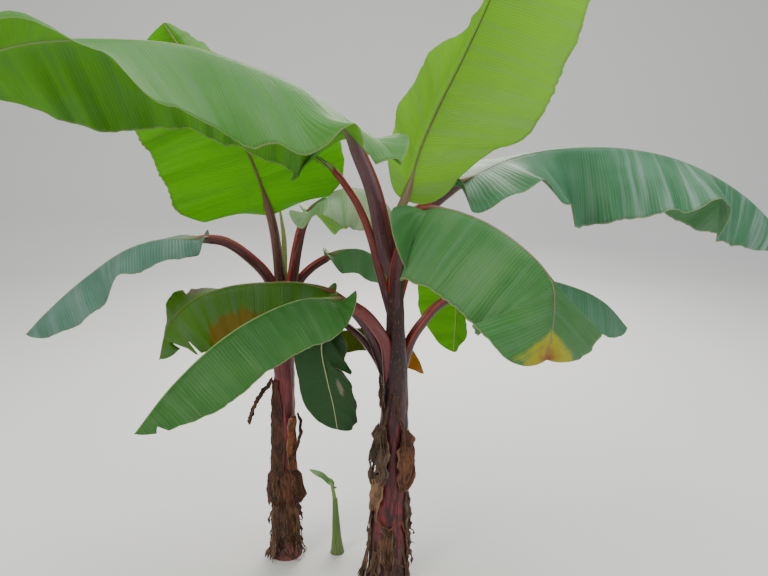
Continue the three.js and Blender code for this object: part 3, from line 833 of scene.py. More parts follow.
@dataclass
class Leaf:
    """A petiole and blade that follow the part's own rule, as fine as the eye needs.

    channel, wing and keel are the petiole's inner half width, how high its wings stand and how
    deep it is below, as shares of its half width; rim is how wide a wing's top is.

    The rib's stations are from its stem's foot; petiole is how many of the spans between them
    are petiole; left and right give how far each half hangs at the rib and at the margin;
    tears are (half, place, depth, width) of slits that run in from the margin, and curls are
    (half, place, reach, degrees, from where across) of a margin that turns down or up. In both
    the left half is 1 and the right one -1.
    """

    node: str
    stem: Pseudostem
    slot: Slot
    seed: int
    petiole: float
    petiole_width: float
    base: float
    half: tuple[float, float]
    ripple: float
    rib: Table
    left: Table
    right: Table
    sweep: Table
    finish: LeafFinish
    rib_finish: RibFinish = RibFinish()
    left_sweep: Table | None = None
    facing: float | None = None
    tears: Table = ()
    curls: Table = ()
    columns: int = 20
    row_pitch: float = 5.5
    petiole_pitch: float = 8.0
    sheet: float = 1.3
    tear_bend: float = 16.0
    tear_fade: float = 0.05
    channel: float = 0.84
    wing: float = 0.62
    keel: float = 1.45
    rim: float = 1.6

    def spine(self) -> Spine:
        """Works out the rings along the rib, closer together where the blade starts.

        Returns:
            The rings.
        """
        stations = np.array(self.rib, float) + (*self.stem.foot, 0.0)
        count = 2000
        dense = curve_points(stations, count)
        lengths = np.concatenate([[0], np.cumsum(np.linalg.norm(np.diff(dense, axis=0), axis=1))])
        total = lengths[-1]
        start = np.interp(self.petiole / (len(stations) - 1) * (count - 1), np.arange(count), lengths)
        rows = max(int((total - start) / self.row_pitch), 24)
        first = max(int(start / self.petiole_pitch), 16)
        ahead = (total - start) * np.linspace(0, 1, rows) ** 1.15
        at = np.concatenate([start * np.arange(first) / first, start + ahead])

        def point(where: np.ndarray) -> np.ndarray:
            """Points at some lengths from the foot."""
            return np.stack([np.interp(where, lengths, dense[:, k]) for k in range(3)], 1)

        run = unit(point(np.minimum(at + 4, total)) - point(np.maximum(at - 4, 0)))
        out = (stations[2] - stations[0]) * (1, 1, 0)
        if self.facing is not None:
            out = bearing(np.radians(self.facing))
        side, sides = np.cross([0.0, 0.0, 1.0], out / np.linalg.norm(out)), []
        for ahead in run:
            side = side - ahead * (side @ ahead)
            side = side / np.linalg.norm(side)
            sides.append(side)
        blade = np.clip((at - start) / (total - start), 0, 1)
        side = np.array(sides)
        petiole = np.minimum(1, at / start)
        return Spine(point(at), run, side, np.cross(run, side), at, petiole, blade, first, total - start)

    def outline(self, blade: np.ndarray) -> np.ndarray:
        """The half width along the blade as a share of its widest."""
        base = np.sqrt(np.maximum(1 - (1 - np.minimum(blade / self.base, 1)) ** 2, 0))
        return base * np.maximum(1 - (np.maximum(blade - TIP_START, 0) / (1 - TIP_START)) ** 2.2, 0) ** 0.8

    def petiole_half(self, spine: Spine) -> np.ndarray:
        """Half the petiole's width at each ring."""
        return self.petiole_width / 2 * (1.15 - 0.3 * spine.petiole)

    def thickness(self, spine: Spine) -> float:
        """How thick the blade's solid is."""
        return max(spine.length * BLADE_THICKNESS, LEAST_THICKNESS)

    def bend(self, blade: np.ndarray, v: float, sign: int) -> np.ndarray:
        """How far tears and curls turn the blade from how it hangs.

        Args:
            blade: Places along the blade.
            v: The place across the half, from 0 at the rib to 1 at the margin.
            sign: 1 for the left half, -1 for the right.

        Returns:
            Degrees, positive away from the upper face.
        """
        bend = np.zeros_like(blade)
        for _, place, depth, _ in (tear for tear in self.tears if tear[0] == sign):
            past = np.where(blade > place, np.exp((place - blade) / self.tear_fade), 0)
            bend = bend + self.tear_bend * past * max(v - 1 + depth, 0) / depth
        for _, place, reach, degrees, start in (curl for curl in self.curls if curl[0] == sign):
            bend = bend + degrees * np.exp(-(((blade - place) / reach) ** 2)) * smooth(v, start, 1.0)
        return bend

    def half_grid(self, spine: Spine, sign: int) -> np.ndarray:
        """One half of the blade as a grid of points, from rib to margin.

        Args:
            spine: The leaf's rings.
            sign: 1 for the left half, -1 for the right.

        Returns:
            The points by row and column.
        """
        blade, ahead = spine.blade, spine.blade * spine.length
        hang, wide = (self.left, self.half[0]) if sign > 0 else (self.right, self.half[1])
        spread = smooth(ahead, 0, CHANNEL_END)
        half = np.maximum(wide * self.outline(blade), self.petiole_half(spine) * 0.5 * (1 - blade))
        uneven = 0.012 * wobble(ahead, 120.0, self.seed * 7 + sign)
        uneven += 0.006 * wobble(ahead, 28.0, self.seed * 5 + sign)
        half = half * (1 + uneven * spread)
        for _, place, depth, width in (tear for tear in self.tears if tear[0] == sign):
            half = half * (1 - depth * np.maximum(1 - np.abs(blade - place) / width, 0) ** 0.7)
        at_rib, at_margin = (-CHANNEL_DEG + (easing(hang, blade, k) + CHANNEL_DEG) * spread for k in (1, 2))
        sweep = easing(self.left_sweep if sign > 0 and self.left_sweep else self.sweep, blade) * spread
        at = spine.point.copy()
        rows, faces = [at], [spine.up]
        for k in range(1, self.columns + 1):
            v = k / self.columns
            level = 1 - (1 - smooth(v, -0.04, ROLL)) * spread
            angle = np.radians((at_rib + (at_margin - at_rib) * v) * level + self.bend(blade, v, sign))[:, None]
            out = spine.side * sign * np.cos(angle) - spine.up * np.sin(angle)
            at = at + out * (half / self.columns)[:, None] + spine.run * (sweep * half / self.columns)[:, None]
            rows.append(at)
            faces.append(spine.side * sign * np.sin(angle) + spine.up * np.cos(angle))
        v, ahead = np.arange(self.columns + 1)[None, :] / self.columns, ahead[:, None]
        seed = self.seed * 3 + sign
        pleat = wobble(ahead, 85.0, seed) * 0.6 + wobble(ahead, 24.0, seed + 50) * 0.13
        flutter = wobble(ahead, 150.0, seed + 90)
        lift = self.ripple * (pleat * v**0.8 * (1 - 0.3 * v) + flutter * v**2.5)
        lift = lift * (spread * smooth(1 - blade, 0, 0.12))[:, None] - 0.5 * self.thickness(spine)
        return np.stack(rows, 1) + np.stack(faces, 1) * lift[:, :, None]

    def blade_skin(self, spine: Spine) -> bpy.types.Object:
        """Makes the blade as a closed sheet with an upper and an under face.

        Args:
            spine: The leaf's rings.

        Returns:
            The blade.
        """
        left, right = (self.half_grid(spine, sign)[spine.first :] for sign in (1, -1))
        grid = np.concatenate([left[:, ::-1], right[:, 1:]], 1)
        face = unit(np.cross(np.gradient(grid, axis=1), np.gradient(grid, axis=0)))
        upward = (face * spine.up[spine.first :, None]).sum(-1, keepdims=True)
        face = np.where(upward < -0.99, -face, face)
        v = np.arange(self.columns, -self.columns - 1, -1) / self.columns
        blade = spine.blade[spine.first :, None]
        run = pairs(blade * spine.length * MM, v * np.where(v > 0, *self.half) * MM)
        thin = face * (self.sheet * (1 - 0.5 * np.abs(v)))[None, :, None] / 2
        skin = Skin()
        upper, under = (skin.add_points(grid + thin * k, run, pairs(blade, v)) for k in (1, -1))
        skin.sheet(upper, under, np.ones((len(grid) - 1, 2 * self.columns), bool), 1)
        faces = [self.finish.face(self.node, top, self.seed * 3.7) for top in (True, False)]
        return skin.make(self.node + "_blade", faces)

    def rib_skin(self, spine: Spine) -> bpy.types.Object:
        """Makes the channelled petiole and the midrib that it becomes, as one closed piece.

        Args:
            spine: The leaf's rings.

        Returns:
            The petiole and rib.
        """
        blade, half = spine.blade, self.petiole_half(spine)
        body = self.thickness(spine) * 0.5
        open_up = smooth(blade * spine.length, 0, 2.2 * CHANNEL_END)
        small = blade**0.7
        width = half * self.channel * (1 - open_up) + (half * 0.3 * (1 - small) + 1.4 * small) * open_up
        wing = half * self.wing * (1 - open_up) + 0.6 * open_up
        keel = half * self.keel
        keel = keel + (body + 2.2 - keel) * blade**0.55
        rim = self.rim * (1 - 0.6 * open_up)
        sink = body * open_up
        across, round_it = np.linspace(-1, 1, 11), np.linspace(0, 1, 17)[1:-1]
        inner_y = wing[:, None] * np.abs(across) ** 1.7 - sink[:, None] + 0.9 * open_up[:, None]
        outer_x = (width + rim)[:, None] * np.cos(math.pi * round_it)
        outer_y = (wing - sink)[:, None] - (wing + keel - sink)[:, None] * np.sin(math.pi * round_it) ** 0.85
        x = np.concatenate([width[:, None] * across, outer_x], 1)
        x = x * (1 - 0.9 * smooth(blade, 0.985, 1.0))[:, None]
        y = np.concatenate([inner_y, outer_y], 1)
        points = spine.point[:, None] - spine.side[:, None] * x[:, :, None] + spine.up[:, None] * y[:, :, None]
        around = np.concatenate([(across + 1) / 2, 1 + round_it])
        grown = np.concatenate([np.zeros(TAIL_ROWS), np.where(blade > 0, 1 + blade, spine.petiole)])
        run = np.concatenate([np.linspace(-TAIL, 0, TAIL_ROWS, endpoint=False), spine.at])
        skin = Skin()
        skin.tube(
            np.concatenate([self.tail(points[0]), points]),
            pairs((run * MM)[:, None], (around * self.petiole_width * MM)[None, :]),
            pairs(grown[:, None], around[None, :]),
            (1.0, 0.3, 0.02),
        )
        return skin.make(self.node + "_rib", [self.rib_finish.material(self.node, self.seed * 2.3)])

    def tail(self, ring: np.ndarray) -> np.ndarray:
        """The rings by which the petiole's foot narrows down into the stem, from the lowest up.

        Args:
            ring: The petiole's first ring.

        Returns:
            The points by ring and place round it.
        """
        middle = ring.mean(0)
        down = np.linspace(1, 0, TAIL_ROWS, endpoint=False)
        centre = self.stem.middle(np.maximum(middle[2] - TAIL * down, 5.0))
        centre = centre + (middle - self.stem.middle(middle[2:3])[0]) * ((1 - down) ** 1.5)[:, None] * (1, 1, 0)
        return centre[:, None] + (ring - middle)[None] * (1 - 0.62 * smooth(down, 0.0, 1.0))[:, None, None]

    def build(self) -> list[bpy.types.Object]:
        """Makes the blade and the rib, which stand for the leaf's solid."""
        spine = self.spine()
        return [self.blade_skin(spine), self.rib_skin(spine)]


@dataclass
class DryPart:
    """A dead sheath or strip that hangs on a stem, crinkled and frayed.

    line holds stations from the top down, as (height, heading, half width, clear space at the
    middle line, the same at the edges). holes are (place down, place across, reach down, reach
    across) of what has rotted through.
    """

    node: str
    stem: Pseudostem
    thick: float
    seed: int
    line: Table
    finish: DryFinish = DryFinish()
    title: str = "papery"
    crinkle: float = 2.6
    fray: float = 8.0
    curl: float = 4.0
    paper: float = 1.1
    broaden: float = 1.0
    holes: Table = ()
    columns: int = 44
    pitch: float = 2.2
    slot: Slot = Slot.DRY

    def grid(self, down: np.ndarray, v: np.ndarray) -> tuple[np.ndarray, np.ndarray]:
        """The plate's middle surface.

        Args:
            down: How far down each row is, as a column.
            v: Places across, from 1 to -1, as a row.

        Returns:
            The points, and which way is out at each.
        """
        table = np.array(self.line, float)
        drop = table[0, 0] - table[:, 0]
        heading, half, middle, edge = (easing(pairs(drop, table[:, k]), down) for k in range(1, 5))
        share = down / drop[-1]
        ragged = 0.08 * wobble(down + 9 * np.sign(v), 60.0, self.seed)
        ragged += 0.025 * wobble(down + 5 * np.sign(v), 9.0, self.seed + 1)
        half = half * self.broaden * (1 + ragged * np.abs(v) ** 2)
        frays = self.fray * (wobble(v * 40, 17.0, self.seed + 2) + 0.6 * wobble(v * 40, 5.0, self.seed + 3))
        height = table[0, 0] - down - 0.6 * frays * smooth(share, 0.7, 1.0)
        height = np.clip(height + 0.35 * frays * (1 - smooth(share, 0.0, 0.25)), 1.5, self.stem.top)
        crease = 0.7 * wobble(v * 40 + 0.12 * down, 13.0, self.seed + 5)
        crease += 0.35 * wobble(v * 40 - 0.2 * down, 5.5, self.seed + 6)
        crease += 0.5 * wobble(down + 22 * v, 30.0, self.seed + 4)
        crease += 0.25 * wobble(down - 14 * v, 9.0, self.seed + 7)
        curled = self.curl * np.abs(v) ** 4 * (0.7 + 0.45 * wobble(down, 70.0, self.seed + 8))
        clear = middle + (edge - middle) * v**2 + self.thick / 2
        folds = (self.crinkle * crease + curled) * smooth(down, 0, 14)
        reach = along(self.stem.radius, height) + np.maximum(clear + folds, 1.4)
        out = bearing(np.radians(heading) + v * half / reach)
        return self.stem.middle(height) + out * reach[:, :, None], out

    def build(self) -> list[bpy.types.Object]:
        """Makes the crinkled plate.

        Returns:
            The one piece.
        """
        length = self.line[0][0] - self.line[-1][0]
        rows = max(int(length / self.pitch), 30)
        down = np.linspace(0, length, rows)[:, None]
        v = np.linspace(1, -1, self.columns)[None, :]
        at, out = self.grid(down, v)
        body = out * (self.paper * (1 - 0.6 * np.abs(v) ** 3))[:, :, None] / 2
        run = pairs(v * float(np.array(self.line)[:, 2].max()) * MM, down * MM)
        s, w = (down / length)[:-1] + 0.5 / rows, v[:, :-1] - 1 / self.columns
        keep = np.ones((rows - 1, self.columns - 1), bool)
        for place_down, side, reach, spread in self.holes:
            away = np.hypot((s - place_down) / reach, (w - side) / spread)
            keep &= away + 0.25 * wobble(w * 20 + s * 55, 6.0, self.seed + 9) > 1
        skin = Skin()
        outer, inner = (skin.add_points(at + body * k, run, pairs(down / length, v)) for k in (1, -1))
        skin.sheet(outer, inner, keep, 0)
        name = f"{self.node}_{self.title}"
        return [skin.make(name, [self.finish.material(name, float(self.seed))])]


@dataclass
class Shreds:
    """Torn ribbons of dead sheath that curl away from the foot of a stem."""

    node: str
    stem: Pseudostem
    count: int
    heights: tuple[float, float]
    headings: tuple[float, float]
    seed: int
    finish: DryFinish
    slot: Slot = Slot.DRY
    lengths: tuple[float, float] = (45, 170)
    widths: tuple[float, float] = (3.5, 13.0)
    lowest: float = 2.0

    def ribbon(self, skin: Skin, draw: np.random.Generator) -> None:
        """Adds one ribbon that leaves the stem, hangs and curls.

        Args:
            skin: The mesh in the making.
            draw: Where its random sizes come from.
        """
        top = draw.uniform(*self.heights)
        length = min(draw.uniform(*self.lengths), top * 1.15)
        heading = math.radians(draw.uniform(*self.headings))
        wide = draw.uniform(*self.widths)
        s, v = np.linspace(0, 1, 40)[:, None], np.linspace(-1, 1, 7)[None, :]
        away = draw.uniform(3, 16) * s**1.5
        away = away + draw.uniform(0, 9) * np.sin(s * math.pi * draw.uniform(0.6, 2.2)) ** 2
        height = np.maximum(top - length * (s - 0.12 * s**3), self.lowest) + 0 * v
        turn = heading + draw.uniform(-0.5, 0.5) * s * (1 + s) + draw.uniform(-0.7, 0.7) * s**3
        twist = draw.uniform(-1.8, 1.8) * s**1.3 + 0.3 * np.sin(s * 14 + draw.uniform(0, 6))
        half = wide * (1 - 0.85 * s**3) * (0.75 + 0.25 * np.sin(s * 17 + draw.uniform(0, 6)))
        out, side = bearing(turn), bearing(turn + math.pi / 2)
        cup = draw.uniform(-2.5, 2.5) * (v**2) * (1 - 0.4 * s)
        cos, sin = np.cos(twist)[:, :, None], np.sin(twist)[:, :, None]
        face = cos * out - sin * side
        at = self.stem.middle(height) + out * (along(self.stem.radius, height) + 2.0 + away)[:, :, None]
        at = at + (cos * side + sin * out) * (half * v)[:, :, None] + face * cup[:, :, None]
        at[:, :, 2] = np.maximum(at[:, :, 2], self.lowest)
        thin = face * (0.45 * (1 - 0.5 * np.abs(v)))[:, :, None]
        run = pairs(v * wide * MM + top, s * length * MM)
        front, back = (skin.add_points(at + thin * k, run, pairs(s, v * 0.9)) for k in (1, -1))
        skin.sheet(front, back, np.ones((len(s) - 1, v.size - 1), bool), 0)

    def build(self) -> list[bpy.types.Object]:
        """Makes the bunch of ribbons.

        Returns:
            The one piece.
        """
        skin, draw, name = Skin(), np.random.default_rng(self.seed), self.node + "_shreds"
        for _ in range(self.count):
            self.ribbon(skin, draw)
        return [skin.make(name, [self.finish.material(name, float(self.seed))])]


@dataclass
class Spear:
    """The rolled young leaf on the second stem: a tapering scroll with its free edge showing."""

    node: str
    stem: Pseudostem
    line: Table
    finish: LeafFinish = LeafFinish(
        "#B9CC92", "#D5DFB8", "#E6EBD4", "#C2D29C", "#D8EE9A", 0.3, margin="#E6EBD4"
    )
    slot: Slot = Slot.YOUNG
    rows: int = 90
    sides: int = 48
    twist: float = 2.2

    def build(self) -> list[bpy.types.Object]:
        """Makes the scroll.

        Returns:
            The one piece.
        """
        table = np.array(self.line, float)
        middle = curve_points(table[:, :3] + (*self.stem.foot, 0.0), self.rows)
        radius = np.interp(np.linspace(0, len(table) - 1, self.rows), np.arange(len(table)), table[:, 3])
        whole = 2 * math.pi
        turn = np.linspace(0, whole, self.sides, endpoint=False)[None, :]
        rolled = (turn + np.linspace(0, self.twist, self.rows)[:, None]) % whole / whole
        points = middle[:, None] + bearing(turn) * (radius[:, None] * (0.82 + 0.16 * rolled))[:, :, None]
        skin = Skin()
        share = pairs(np.linspace(0, 1, self.rows)[:, None], turn / 7)
        skin.tube(points, pairs((middle[:, 2] * MM)[:, None], turn * 0.01), share, (1.0, 0.4, 0.02))
        return [skin.make(self.node + "_scroll", [self.finish.face(self.node, True, 7.0)])]


@dataclass
class Studio:
    """The pale floor, the soft lights and the camera, which are no part of the plant."""

    eye: tuple[float, float, float] = (-0.012, -2.26, 1.5)
    look_down: float = 13.0
    lens: float = 36.1
    film: float = 36.0
    floor: str = "#E9E7E2"
    backdrop: str = "#F2F1EE"
    sky: str = "#EEF2F6"
    sky_strength: float = 0.55

    def build(self) -> None:
        """Sets up floor, lights and camera."""
        self.set_floor()
        self.set_lights()
        self.set_camera()

    def set_floor(self) -> None:
        """Lays the floor, which curves up far behind the plant."""
        profile = [(-7.0, 0.0), (3.0, 0.0), (4.2, 0.12), (5.0, 0.5), (5.6, 1.3), (5.9, 2.6), (6.0, 7.0)]
        verts = [(x, y, z) for y, z in profile for x in (-9.0, 9.0)]
        faces = [(2 * i, 2 * i + 1, 2 * i + 3, 2 * i + 2) for i in range(len(profile) - 1)]
        mesh = bpy.data.meshes.new("studio_floor")
        mesh.from_pydata(verts, [], faces)
        mesh.polygons.foreach_set("use_smooth", [True] * len(faces))
        s = Shader("studio_painted_board")
        tone = s.add("Mix.RGBA", s.swells(0.0, 1000.0, 0.0, 1000.0, 1.0, 2.0), self.floor, self.backdrop)
        mesh.materials.append(s.surface(tone, 0.85, ior=1.5))
        place("studio_floor", mesh)

    def set_lights(self) -> None:
        """Hangs a key light, a broad overhead light, a light from behind the leaves and a fill."""
        lights = (
            ("key", (-2.6, -3.0, 3.6), (0.0, 0.0, 1.1), 2.2, 95.0, "#FFF8EE"),
            ("overhead", (0.2, 0.4, 4.4), (0.0, 0.0, 1.0), 3.6, 130.0, "#F4F8FF"),
            ("behind", (0.4, 3.6, 2.9), (0.0, 0.0, 1.3), 2.6, 130.0, "#FFFBF0"),
            ("fill", (3.2, -2.4, 1.8), (0.1, 0.0, 1.0), 2.0, 30.0, "#F4F8FF"),
        )
        for name, spot, aim, size, power, colour in lights:
            lamp = bpy.data.lights.new(name, "AREA")
            lamp.size, lamp.energy, lamp.color = size, power, linear(colour)[:3]
            holder = place(name, lamp)
            holder.location = spot
            holder.rotation_euler = (Vector(aim) - Vector(spot)).to_track_quat("-Z", "Y").to_euler()
        world = bpy.data.worlds.new("studio_air")
        world.use_nodes = True
        colour, strength = world.node_tree.nodes["Background"].inputs[:2]
        colour.default_value, strength.default_value = linear(self.sky), self.sky_strength
        bpy.context.scene.world = world

    def set_camera(self) -> None:
        """Sets the camera at eye height in front of the plant."""
        camera = bpy.data.cameras.new("eye")
        camera.lens, camera.sensor_width = self.lens, self.film
        holder = place("eye", camera)
        holder.location = self.eye
        holder.rotation_euler = (math.radians(90 - self.look_down), 0, 0)
        bpy.context.scene.camera = holder


MAIN = Pseudostem(
    "main_stem", foot=(0, 0), top=1165, seed=11,
    radius=((0, 74), (40, 64), (150, 59), (400, 51), (600, 45), (750, 40), (860, 33), (1060, 27), (1165, 20)),
    lean=((0, 0, 0), (350, 12, 0), (700, 24, 0), (1165, 20, 4)),
    sheaths=((214, 1040, 24), (90, 1100, 22), (24, 1000, 24), (300, 880, 22), (20, 700, 20), (52, 860, 18),
        (220, 690, 22), (176, 680, 20), (160, 640, 18), (255, 600, 26), (100, 560, 26), (330, 500, 24),
        (200, 400, 30), (45, 330, 30)),
)
SECOND = Pseudostem(
    "second_stem", foot=(-350, 145), top=975, seed=23,
    radius=((0, 54), (40, 47), (200, 43), (500, 39), (800, 36), (905, 34), (975, 22)),
    lean=((0, 0, 0), (500, 6, 0), (975, 16, 0)),
    sheaths=((250, 900, 24), (350, 860, 22), (200, 820, 24), (20, 800, 20), (130, 700, 24), (290, 560, 24),
        (60, 480, 28), (230, 380, 26), (160, 300, 30)),
    finish=StemFinish(skin="#74282F", bright="#BC6068", blotch="#2E1616", dark_above="#6A3C38", blotches=0.5,
        dark_from=0.8, old="#5A3228", old_below=0.44, pale="#D09A90"),
)
PUP = Pseudostem(
    "pup_stem", foot=(-175, 150), top=205, slot=Slot.PUP, seed=31,
    radius=((0, 25), (60, 18), (205, 10)), lean=((0, 0, 0), (205, -5, 0)),
    sheaths=((200, 190, 30), (40, 150, 30), (300, 90, 36)),
    finish=StemFinish(skin="#5E7E34", bright="#86A04E", blotch="#4A4A2E", pale="#B4C48A", old="#5A5A3A",
        dark_above="#6E8E3E", blotches=0.25, dark_from=0.18, old_below=0.03),
)

